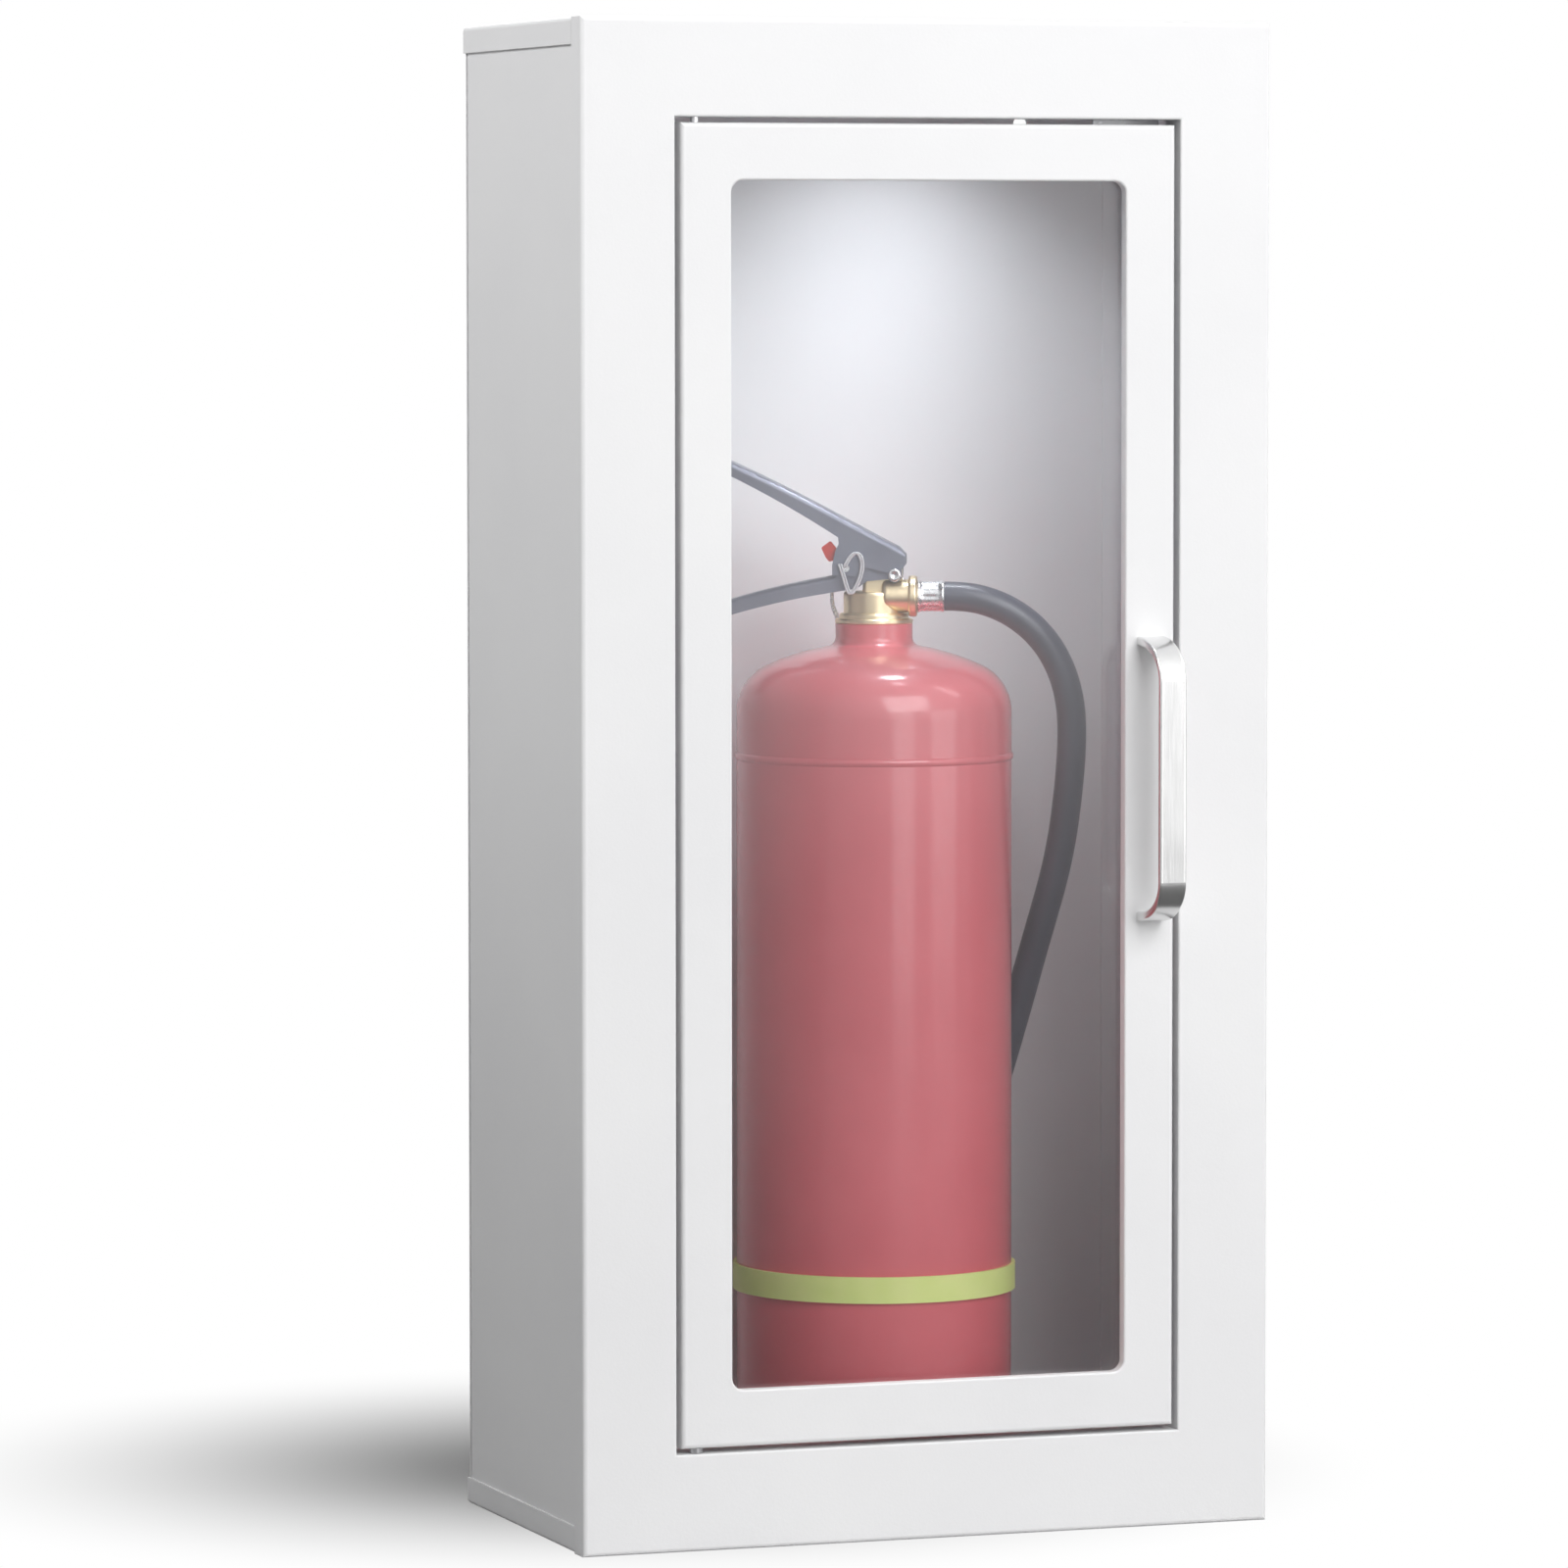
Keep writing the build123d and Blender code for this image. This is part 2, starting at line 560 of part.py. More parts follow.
def shell_outline(inset):
    """Half section of the cylinder's wall, taken in by a thickness."""
    radius = SHELL_R - inset
    knuckle = KNUCKLE_R - inset
    crown = CROWN_R - inset
    centre = (SHELL_R - KNUCKLE_R, SHOULDER_Z)
    crown_z = SHOULDER_Z - KNUCKLE_RISE
    aim = math.degrees(math.atan2(centre[1] - crown_z, centre[0]))
    neck = NECK_R if inset == 0 else NECK_BORE_R
    neck_z = crown_z + math.sqrt(crown ** 2 - neck ** 2)
    neck_turn = math.degrees(math.asin((neck_z - crown_z) / crown))
    skirt_top = EXT_BASE + SKIRT_H
    bottom = EXT_BASE + BOTTOM_LIFT + inset
    head_r = SHELL_R - SKIRT_T - SKIRT_GAP - inset
    lines = [
        Line((0, bottom), (head_r - BOTTOM_KNUCKLE, bottom)),
        CenterArc((head_r - BOTTOM_KNUCKLE, bottom + BOTTOM_KNUCKLE), BOTTOM_KNUCKLE, -90, 90),
        Line((head_r, bottom + BOTTOM_KNUCKLE), (head_r, skirt_top + inset)),
        Line((head_r, skirt_top + inset), (radius, skirt_top + inset)),
        Line((radius, skirt_top + inset), (radius, SHOULDER_Z)),
        CenterArc(centre, knuckle, 0, aim),
        CenterArc((0, crown_z), crown, aim, neck_turn - aim),
        Line((neck, neck_z), (neck, NECK_TOP_Z)),
        Line((neck, NECK_TOP_Z), (0, NECK_TOP_Z)),
        Line((0, NECK_TOP_Z), (0, bottom)),
    ]
    face = make_face(Curve() + lines)
    if inset > 0:
        return face
    return round_at(face, neck, neck_z, NECK_FLARE_R)


def extinguisher_cylinder():
    """Hollow welded shell with a domed shoulder, a bead at its weld and a short neck."""
    outside = revolve(Plane.XZ * shell_outline(0), Axis.Z)
    inside = revolve(Plane.XZ * shell_outline(SHELL_T), Axis.Z)
    bead_x = SHELL_R + BEAD_PROUD - BEAD_R
    bead = revolve(Plane.XZ * (Pos(bead_x, SHOULDER_Z - BEAD_DROP) * Circle(BEAD_R)), Axis.Z)
    return Pos(EXT_X, EXT_Y, 0) * (outside + bead - inside)


def extinguisher_foot_ring():
    """Skirt that the cylinder stands on."""
    at = (EXT_X, EXT_Y, EXT_BASE)
    ring = rod(SHELL_R, SKIRT_H, at) - rod(SHELL_R - SKIRT_T, SKIRT_H, at)
    return fillet(ring.edges().group_by(Axis.Z)[0], 0.6)


def on_valve(piece):
    """Turns a piece made along the outlet's direction and sets it on the extinguisher's axis."""
    return Pos(EXT_X, EXT_Y, 0) * Rot(0, 0, VALVE_TURN) * piece


def neck_collar():
    """Brass ring in two steps between the neck and the valve."""
    at = (EXT_X, EXT_Y, NECK_TOP_Z)
    upper = rod(COLLAR_UPPER_R, COLLAR_T, at)
    upper = fillet(upper.edges().group_by(Axis.Z)[-1], 1.2)
    lower = rod(COLLAR_R, COLLAR_STEP_T, at)
    ring = upper + chamfer(lower.edges(), 0.5)
    return ring - rod(SPIGOT_R + FIT, 3 * COLLAR_T, (EXT_X, EXT_Y, NECK_TOP_Z - COLLAR_T))


def valve_body():
    """Brass valve: round base on a spigot, block between the levers' cheeks and an outlet horn."""
    body = rod(VALVE_R, VALVE_BASE_H, (0, 0, COLLAR_TOP))
    body = fillet(body.edges().group_by(Axis.Z)[-1], 1.5)
    body += rod(SPIGOT_R, COLLAR_T + SPIGOT_DEPTH, (0, 0, NECK_TOP_Z - SPIGOT_DEPTH))
    block_z = (COLLAR_TOP + VALVE_BASE_H / 2, COLLAR_TOP + BLOCK_H)
    middle = block((BLOCK_LEFT, BLOCK_RIGHT), (-BLOCK_HALF_W, BLOCK_HALF_W), block_z)
    body += fillet(middle.edges().filter_by(Axis.Z), 2.0)
    horn = rod(HORN_R, OUTLET_START - HORN_START, (HORN_START, -HORN_FORWARD, OUTLET_Z), (0, 90, 0))
    body += fillet(horn.edges().group_by(Axis.X)[0], HORN_END_R)
    return on_valve(body - cross_hole(RIVET_X, RIVET_Z, RIVET_R + FIT))


def valve_stem():
    """Stem between the valve and the squeeze lever."""
    return rod(STEM_R, STEM_H, (EXT_X, EXT_Y, COLLAR_TOP + BLOCK_H))


def outlet_ring():
    """Brass ring at the outlet's mouth."""
    ring = rod(OUTLET_RING_R, OUTLET_RING_T, (OUTLET_START, -HORN_FORWARD, OUTLET_Z), (0, 90, 0))
    return on_valve(fillet(ring.edges(), 1.2))


def hose_ferrule():
    """Crimped steel sleeve on the hose's end, with a rib at each end and one in the middle."""
    start = OUTLET_START + OUTLET_RING_T
    sleeve = rod(FERRULE_R, FERRULE_L, (start, -HORN_FORWARD, OUTLET_Z), (0, 90, 0))
    rib_step = (FERRULE_L - FERRULE_RIB_T) / 2
    for i in range(3):
        rib = rod(FERRULE_RIB_R, FERRULE_RIB_T, (start + i * rib_step, -HORN_FORWARD, OUTLET_Z), (0, 90, 0))
        sleeve += chamfer(rib.edges(), 0.4)
    return on_valve(sleeve)


def closed(*runs):
    """Closed face from runs of points. A run of three points is an arc and any other one is straight."""
    edges = []
    last = None
    for run in runs:
        if len(run) == 3:
            if last is not None:
                edges.append(Line(last, run[0]))
            edges.append(ThreePointArc(*run))
        else:
            edges.append(Polyline(last, *run))
        last = run[-1]
    edges.append(Line(last, runs[0][0]))
    return make_face(Curve() + edges)


def channel(outline, hollow, inner_half, fold_at):
    """Folded lever, as wide as its cheeks, with its upper edges rounded and a hollow between them."""
    outer_half = inner_half + LEVER_T
    solid = Rot(90, 0, 0) * extrude(outline, outer_half, both=True)
    folds = []
    for x, z in fold_at:
        for side in (-1, 1):
            folds.append(solid.edges().sort_by_distance((x, side * outer_half, z))[0])
    solid = fillet(folds, LEVER_FOLD_R)
    solid -= Rot(90, 0, 0) * extrude(hollow, inner_half, both=True)
    return Pos(0, 0, COLLAR_TOP) * solid


def carry_handle():
    """Lower handle: an arched channel open below, with cheeks that rise beside the valve block."""
    outline = closed(CARRY_TOP, CARRY_CHEEK, CARRY_UNDER)
    hollow = closed(CARRY_LID, CARRY_CLEAR)
    handle = channel(outline, hollow, BLOCK_HALF_W + LEVER_GAP, [CARRY_TOP[1]])
    handle -= cross_hole(RIVET_X, RIVET_Z, RIVET_R + FIT)
    return on_valve(handle - cross_hole(PIN_X, PIN_Z, SAFETY_PIN_R + SAFETY_PIN_CLEARANCE))


def squeeze_lever():
    """Upper lever: an arched channel open below, hinged at the rivet and held up by the safety pin."""
    outline = closed(SQUEEZE_TOP, SQUEEZE_NOSE, SQUEEZE_EAR, SQUEEZE_CHEEK, SQUEEZE_UNDER)
    hollow = closed(SQUEEZE_LID, SQUEEZE_CLEAR)
    inner_half = LEVER_HALF_W - LEVER_T
    lever = channel(outline, hollow, inner_half, [SQUEEZE_TOP[1], SQUEEZE_KNEE])
    lever -= cross_hole(RIVET_X, RIVET_Z, RIVET_R + FIT)
    return on_valve(lever - cross_hole(PIN_X, PIN_Z, SAFETY_PIN_R + SAFETY_PIN_CLEARANCE))


def cross_hole(x, z, radius):
    """Drill through both cheeks of a lever."""
    return rod(radius, 8 * BLOCK_HALF_W, (x, 4 * BLOCK_HALF_W, COLLAR_TOP + z), (90, 0, 0))


def lever_rivet():
    """Rivet through both levers and the valve block, with a domed head at each end."""
    z = COLLAR_TOP + RIVET_Z
    rivet = rod(RIVET_R, 2 * LEVER_HALF_W, (RIVET_X, LEVER_HALF_W, z), (90, 0, 0))
    front = rod(RIVET_HEAD_R, RIVET_HEAD_T, (RIVET_X, -LEVER_HALF_W, z), (90, 0, 0))
    rear = rod(RIVET_HEAD_R, RIVET_HEAD_T, (RIVET_X, LEVER_HALF_W, z), (-90, 0, 0))
    front = fillet(front.edges().group_by(Axis.Y)[0], 0.7)
    rear = fillet(rear.edges().group_by(Axis.Y)[-1], 0.7)
    return on_valve(rivet + front + rear)


def safety_pin():
    """Pin through both levers, with a flat eye at its rear end for the pull ring."""
    z = COLLAR_TOP + PIN_Z
    rear = LEVER_HALF_W + SAFETY_PIN_TAIL
    pin = rod(SAFETY_PIN_R, rear + LEVER_HALF_W + SAFETY_PIN_TIP, (PIN_X, rear, z), (90, 0, 0))
    lean = math.degrees(math.atan2(PIN_Z - PULL_RING_Z, PULL_RING_X - PIN_X))
    eye = Pos(PIN_X, rear + EYE_R - 1, z) * Rot(0, lean, 0)
    pin += eye * Cylinder(EYE_R, EYE_T)
    return on_valve(pin - eye * Cylinder(PULL_WIRE_R + EYE_CLEARANCE, 4 * EYE_T))


def pull_ring():
    """Wire ring in the safety pin's eye, which hangs behind the neck."""
    y = LEVER_HALF_W + SAFETY_PIN_TAIL + EYE_R - 1
    ring = Pos(PULL_RING_X, y, COLLAR_TOP + PULL_RING_Z) * Rot(90, 0, 0) * Torus(PULL_RING_R, PULL_WIRE_R)
    return on_valve(ring)


def seal_tag():
    """Red flag of the seal, in the squeeze lever's channel behind its front cheek."""
    front = LEVER_T + LEVER_GAP - LEVER_HALF_W
    flag = make_face(Polyline(*SEAL_FLAG, close=True))
    tag = Pos(0, front + SEAL_T, COLLAR_TOP) * Rot(90, 0, 0) * extrude(flag, SEAL_T)
    return on_valve(fillet(tag.edges().filter_by(Axis.Y), 0.8))


def seal_wire():
    """Cord of the seal: a leaf-shaped loop in front of the cheeks, from the safety pin's tip."""
    y = -LEVER_HALF_W - SAFETY_PIN_TIP - LEVER_GAP - SEAL_WIRE_R
    points = [(x, y, COLLAR_TOP + z) for x, z in SEAL_LOOP]
    path = FilletPolyline(*points, radius=SEAL_WIRE_BEND)
    cord = sweep(Plane(origin=path @ 0, z_dir=path % 0) * Circle(SEAL_WIRE_R), path=path)
    return on_valve(cord)


def hose_radii(route):
    """Largest arc that each corner's two runs allow."""
    points = [Vector(*p) for p in route]
    radii = []
    for a, b, c in zip(points, points[1:], points[2:]):
        turn = math.radians((b - a).get_angle(c - b))
        radii.append(0.45 * min((b - a).length, (c - b).length) / math.tan(turn / 2))
    return radii


def discharge_hose():
    """Rubber hose as a tube along its route."""
    radii = hose_radii(HOSE_ROUTE)
    path = FilletPolyline(*HOSE_ROUTE, radius=radii)
    hose = sweep(Plane(origin=path @ 0, z_dir=path % 0) * Circle(HOSE_R), path=path)
    print("hose radii", [round(r) for r in radii], "length", round(path.length, 1))
    section = math.pi * HOSE_R ** 2
    print("hose volume over section times length", round(hose.volume / (section * path.length), 4))
    return hose


def discharge_nozzle():
    """Tapered nozzle with a gripping collar and an open mouth."""
    collar_low = -NOZZLE_COLLAR_L
    points = [
        (0, 0),
        (NOZZLE_R, 0),
        (NOZZLE_R, collar_low),
        (NOZZLE_R - 0.8, collar_low - 1),
        (NOZZLE_TIP_R, -NOZZLE_L),
        (NOZZLE_BORE_R + 1.4, -NOZZLE_L),
        (NOZZLE_BORE_R, collar_low - 6),
        (0, collar_low - 6),
    ]
    return turned(points, (HOSE_X, HOSE_Y, HOSE_END_Z))


def band_face(gap):
    """Outline of a band drawn tight round the cylinder and the hose beside it."""
    big = SHELL_R + gap
    small = HOSE_R + gap
    lean = math.degrees(math.acos((big - small) / HOSE_REACH))
    away = Vector(math.cos(math.radians(HOSE_TURN)), math.sin(math.radians(HOSE_TURN))) * HOSE_REACH
    corners = []
    for side in (1, -1):
        aim = math.radians(HOSE_TURN + side * lean)
        normal = Vector(math.cos(aim), math.sin(aim))
        corners.append(normal * big)
        corners.append(away + normal * small)
    wedge = make_face(Polyline(corners[0], corners[1], corners[3], corners[2], close=True))
    return wedge + Circle(big) + Pos(away.X, away.Y) * Circle(small)


def hose_strap():
    """Elastic band round the cylinder that holds the hose against it."""
    band = band_face(STRAP_GAP + STRAP_T) - band_face(STRAP_GAP)
    return Pos(EXT_X, EXT_Y, STRAP_Z) * extrude(band, STRAP_W)


def build():
    """Makes every piece, keyed by its name."""
    head_down = Plane.XY.offset(MID_Z)
    side = right_side_panel()
    top = top_panel()
    bracket = hinge_bracket_top()
    strip = glazing_retainer_top()
    return {
        "back_panel": back_panel(),
        "left_side_panel": mirror(side, Plane.YZ),
        "right_side_panel": side,
        "top_panel": top,
        "bottom_panel": mirror(top, head_down),
        "face_frame": face_frame(),
        "hinge_bracket_top": bracket,
        "hinge_bracket_bottom": mirror(bracket, head_down),
        "catch_bracket": catch_bracket(),
        "door_catch": door_catch(),
        "door_pan": door_pan(),
        "door_glazing": door_glazing(),
        "glazing_retainer_left": glazing_retainer_left(),
        "glazing_retainer_right": glazing_retainer_right(),
        "glazing_retainer_top": strip,
        "glazing_retainer_bottom": mirror(strip, head_down),
        "hinge_pin_top": hinge_pin(False),
        "hinge_pin_bottom": mirror(hinge_pin(True), head_down),
        "pull_handle": pull_handle(),
        "pull_handle_screws": pull_handle_screws(),
        "catch_strike": catch_strike(),
        "extinguisher_cylinder": extinguisher_cylinder(),
        "extinguisher_foot_ring": extinguisher_foot_ring(),
        "neck_collar": neck_collar(),
        "valve_body": valve_body(),
        "valve_stem": valve_stem(),
        "outlet_ring": outlet_ring(),
        "hose_ferrule": hose_ferrule(),
        "carry_handle": carry_handle(),
        "squeeze_lever": squeeze_lever(),
        "lever_rivet": lever_rivet(),
        "safety_pin": safety_pin(),
        "pull_ring": pull_ring(),
        "seal_tag": seal_tag(),
        "seal_wire": seal_wire(),
        "discharge_hose": discharge_hose(),
        "discharge_nozzle": discharge_nozzle(),
        "hose_strap": hose_strap(),
    }


os.makedirs("parts", exist_ok=True)
for name, piece in build().items():
    export_step(piece, f"parts/{name}.step")
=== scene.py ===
"""Looks of the fire extinguisher cabinet: finishes, hose, small metal trim, studio and camera."""
import json
import logging
import math
from dataclasses import dataclass
from enum import Enum

import bmesh
import bpy
from mathutils import Matrix, Vector

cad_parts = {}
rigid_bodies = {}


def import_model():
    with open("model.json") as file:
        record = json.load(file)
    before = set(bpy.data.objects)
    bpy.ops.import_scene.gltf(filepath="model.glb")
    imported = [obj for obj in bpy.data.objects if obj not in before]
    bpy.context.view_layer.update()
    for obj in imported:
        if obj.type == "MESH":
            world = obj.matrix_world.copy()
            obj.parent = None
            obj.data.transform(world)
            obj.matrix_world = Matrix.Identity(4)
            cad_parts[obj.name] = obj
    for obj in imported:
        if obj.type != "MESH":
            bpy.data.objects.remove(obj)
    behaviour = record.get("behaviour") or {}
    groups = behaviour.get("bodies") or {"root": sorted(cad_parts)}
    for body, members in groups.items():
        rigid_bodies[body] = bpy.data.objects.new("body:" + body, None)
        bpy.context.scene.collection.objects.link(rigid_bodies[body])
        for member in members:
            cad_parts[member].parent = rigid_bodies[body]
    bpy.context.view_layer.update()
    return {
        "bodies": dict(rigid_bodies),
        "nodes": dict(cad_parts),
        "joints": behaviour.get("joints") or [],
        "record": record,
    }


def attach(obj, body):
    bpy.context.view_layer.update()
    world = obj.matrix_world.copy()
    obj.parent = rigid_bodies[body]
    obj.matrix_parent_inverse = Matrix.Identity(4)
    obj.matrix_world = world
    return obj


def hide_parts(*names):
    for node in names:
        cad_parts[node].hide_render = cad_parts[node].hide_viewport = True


LOG = logging.getLogger("cabinet")
Point = tuple[float, float, float]
Colour = tuple[float, float, float]


class Rays(Enum):
    """Kinds of light path that a studio surface can answer in its own way."""

    CAMERA = "Is Camera Ray"
    GLOSSY = "Is Glossy Ray"
    TRANSMISSION = "Is Transmission Ray"


class Curve(Enum):
    """Shapes of the way from one end of a range to the other."""

    STRAIGHT = "LINEAR"
    SMOOTH = "SMOOTHSTEP"


class NodeSheet:
    """A material's or world's node tree, with short calls for the nodes that the finishes share."""

    def __init__(self, tree: bpy.types.NodeTree) -> None:
        """Empties the tree.

        Args:
            tree: The node tree to fill.
        """
        self.tree = tree
        tree.nodes.clear()

    def add(self, kind: str, **settings: object) -> bpy.types.Node:
        """Adds a node and sets its properties.

        Args:
            kind: Blender's name of the node type.
            settings: Properties of the node.

        Returns:
            The new node.
        """
        node = self.tree.nodes.new(kind)
        for name, value in settings.items():
            setattr(node, name, value)
        return node

    def link(self, source: bpy.types.NodeSocket, target: bpy.types.NodeSocket) -> None:
        """Joins an output to an input.

        Args:
            source: The output.
            target: The input.
        """
        self.tree.links.new(source, target)

    def place(self, stretch: Point = (1.0, 1.0, 1.0)) -> bpy.types.NodeSocket:
        """Object coordinates, stretched along the axes.

        Args:
            stretch: Factor on each axis. A small one draws the pattern out.

        Returns:
            The coordinate output.
        """
        here = self.add("ShaderNodeTexCoord").outputs["Object"]
        mapping = self.add("ShaderNodeMapping")
        mapping.inputs["Scale"].default_value = stretch
        self.link(here, mapping.inputs["Vector"])
        return mapping.outputs["Vector"]

    def noise(self, scale: float, detail: float,
              stretch: Point = (1.0, 1.0, 1.0)) -> bpy.types.NodeSocket:
        """Cloudy noise from 0 to 1 on object coordinates.

        Args:
            scale: Patches per metre.
            detail: Octaves of the noise.
            stretch: Factor on each axis.

        Returns:
            The noise output.
        """
        texture = self.add("ShaderNodeTexNoise")
        texture.inputs["Scale"].default_value = scale
        texture.inputs["Detail"].default_value = detail
        self.link(self.place(stretch), texture.inputs["Vector"])
        return texture.outputs["Fac"]

    def span(self, value: bpy.types.NodeSocket, low: float, high: float, start: float = 0.3,
             end: float = 0.7, curve: Curve = Curve.STRAIGHT) -> bpy.types.NodeSocket:
        """Maps a noise or a distance to a range of numbers.

        Args:
            value: The noise or distance.
            low: Result at the start of its range.
            high: Result at its end.
            start: Start of its range.
            end: End of its range.
            curve: The curve between the ends.

        Returns:
            The mapped output.
        """
        node = self.add("ShaderNodeMapRange", interpolation_type=curve.value)
        limits = {"From Min": start, "From Max": end, "To Min": low, "To Max": high}
        for name, number in limits.items():
            node.inputs[name].default_value = number
        self.link(value, node.inputs["Value"])
        return node.outputs["Result"]

    def blend(self, amount: bpy.types.NodeSocket, first: Colour,
              second: Colour) -> bpy.types.NodeSocket:
        """Mixes two colours.

        Args:
            amount: 0 for the first colour, 1 for the second.
            first: Linear colour.
            second: Linear colour.

        Returns:
            The colour output.
        """
        node = self.add("ShaderNodeMix", data_type="RGBA")
        node.inputs["A"].default_value = (*first, 1.0)
        node.inputs["B"].default_value = (*second, 1.0)
        self.link(amount, node.inputs["Factor"])
        return node.outputs["Result"]

    def bump(self, height: bpy.types.NodeSocket, depth: float) -> bpy.types.NodeSocket:
        """Turns a height into a normal.

        Args:
            height: The height, from 0 to 1.
            depth: Height in metres of one unit.

        Returns:
            The normal output.
        """
        node = self.add("ShaderNodeBump")
        node.inputs["Distance"].default_value = depth
        self.link(height, node.inputs["Height"])
        return node.outputs["Normal"]

    def mix(self, amount: bpy.types.NodeSocket, first: bpy.types.NodeSocket,
            second: bpy.types.NodeSocket) -> bpy.types.NodeSocket:
        """Mixes two shaders.

        Args:
            amount: 0 for the first shader, 1 for the second.
            first: A shader's output.
            second: A shader's output.

        Returns:
            The mixed shader's output.
        """
        node = self.add("ShaderNodeMixShader")
        for source, target in zip((amount, first, second), node.inputs):
            self.link(source, target)
        return node.outputs[0]

    def close(self, shader: bpy.types.NodeSocket, output: str = "ShaderNodeOutputMaterial") -> None:
        """Ends the tree with its output node.

        Args:
            shader: The shader's output.
            output: Blender's name of the output node's type.
        """
        self.link(shader, self.add(output).inputs["Surface"])

    def rays(self, kinds: tuple[Rays, ...]) -> bpy.types.NodeSocket:
        """1 on any of some kinds of ray, and 0 on the others.

        Args:
            kinds: The kinds of ray.

        Returns:
            The output.
        """
        path = self.add("ShaderNodeLightPath")
        total = path.outputs[kinds[0].value]
        for kind in kinds[1:]:
            either = self.add("ShaderNodeMath", operation="MAXIMUM")
            self.link(total, either.inputs[0])
            self.link(path.outputs[kind.value], either.inputs[1])
            total = either.outputs["Value"]
        return total


# Octaves of the noise in colour patches and smears, and in a fine relief
CLOUD_DETAIL = 4.0
GRAIN_DETAIL = 3.0


@dataclass(frozen=True)
class SolidFinish:
    """A finish of one shader, with cloudy colour, uneven gloss and a fine relief.

    Attributes:
        name: The material's name, which is the slot's.
        light: Linear colour of the pale patches.
        dark: Linear colour of the dark patches.
        metal: 1 for bare metal, 0 for paint, rubber and plastic.
        gloss: Roughness in the smooth and in the rough places.
        patch: Colour patches per metre.
        grain: Grains of the relief per metre.
        grain_depth: Depth of the relief in metres.
        stretch: Factor on each axis of the relief. A small one draws it out, as brushing does.
        coat: Share of clear lacquer on top.
        coat_roughness: Roughness of the lacquer.
        specular: Strength of the gloss under the lacquer.
    """

    name: str
    light: Colour
    dark: Colour
    metal: float
    gloss: tuple[float, float]
    patch: float
    grain: float
    grain_depth: float
    stretch: Point = (1.0, 1.0, 1.0)
    coat: float = 0.0
    coat_roughness: float = 0.1
    specular: float = 0.5

    def make(self) -> bpy.types.Material:
        """Builds the material.

        Returns:
            The new material.
        """
        material = bpy.data.materials.new(self.name)
        material.use_nodes = True
        sheet = NodeSheet(material.node_tree)
        shader = sheet.add("ShaderNodeBsdfPrincipled")
        shader.inputs["Metallic"].default_value = self.metal
        shader.inputs["Specular IOR Level"].default_value = self.specular
        shader.inputs["Coat Weight"].default_value = self.coat
        shader.inputs["Coat Roughness"].default_value = self.coat_roughness
        cloud = sheet.noise(self.patch, CLOUD_DETAIL)
        colour = sheet.blend(sheet.span(cloud, 0.0, 1.0), self.light, self.dark)
        sheet.link(colour, shader.inputs["Base Color"])
        fine = sheet.noise(self.grain, GRAIN_DETAIL, self.stretch)
        sheet.link(sheet.span(fine, *self.gloss), shader.inputs["Roughness"])
        sheet.link(sheet.bump(fine, self.grain_depth), shader.inputs["Normal"])
        sheet.close(shader.outputs["BSDF"])
        return material


@dataclass(frozen=True)
class PaneFinish:
    """Clear acrylic: mostly see-through, with a mirror gloss and a trace of dust.

    Attributes:
        name: The material's name, which is the slot's.
        tint: Linear colour of what is seen through the pane.
        mirror: Share of mirror gloss seen straight on.
        edge_mirror: Share of mirror gloss seen edge on.
        edge_blend: How soon the gloss grows towards the edge-on view.
        smears: Wiped smears per metre.
        smear_stretch: Factor on each axis of the smears.
        gloss: Roughness between the smears and in them.
        dust: Mean share of dust.
        dust_spread: Least and most dust, as shares of the mean.
        dust_colour: Linear colour of the dust.
    """

    name: str = "clear_pane"
    tint: Colour = (0.96, 0.965, 0.97)
    mirror: float = 0.07
    edge_mirror: float = 0.6
    edge_blend: float = 0.12
    smears: float = 9.0
    smear_stretch: Point = (1.0, 1.0, 0.35)
    gloss: tuple[float, float] = (0.01, 0.06)
    dust: float = 0.004
    dust_spread: tuple[float, float] = (0.5, 1.5)
    dust_colour: Colour = (0.9, 0.9, 0.92)

    def make(self) -> bpy.types.Material:
        """Builds the material.

        Returns:
            The new material.
        """
        material = bpy.data.materials.new(self.name)
        material.use_nodes = True
        sheet = NodeSheet(material.node_tree)
        clear = sheet.add("ShaderNodeBsdfTransparent")
        clear.inputs["Color"].default_value = (*self.tint, 1.0)
        gloss = sheet.add("ShaderNodeBsdfGlossy")
        smear = sheet.noise(self.smears, CLOUD_DETAIL, self.smear_stretch)
        sheet.link(sheet.span(smear, *self.gloss), gloss.inputs["Roughness"])
        milk = sheet.add("ShaderNodeBsdfDiffuse")
        milk.inputs["Color"].default_value = (*self.dust_colour, 1.0)
        edge = sheet.add("ShaderNodeLayerWeight")
        edge.inputs["Blend"].default_value = self.edge_blend
        shine = sheet.span(edge.outputs["Facing"], self.mirror, self.edge_mirror, 0.0, 1.0)
        glazed = sheet.mix(shine, clear.outputs[0], gloss.outputs[0])
        least, most = (self.dust * share for share in self.dust_spread)
        sheet.close(sheet.mix(sheet.span(smear, least, most), glazed, milk.outputs[0]))
        return material


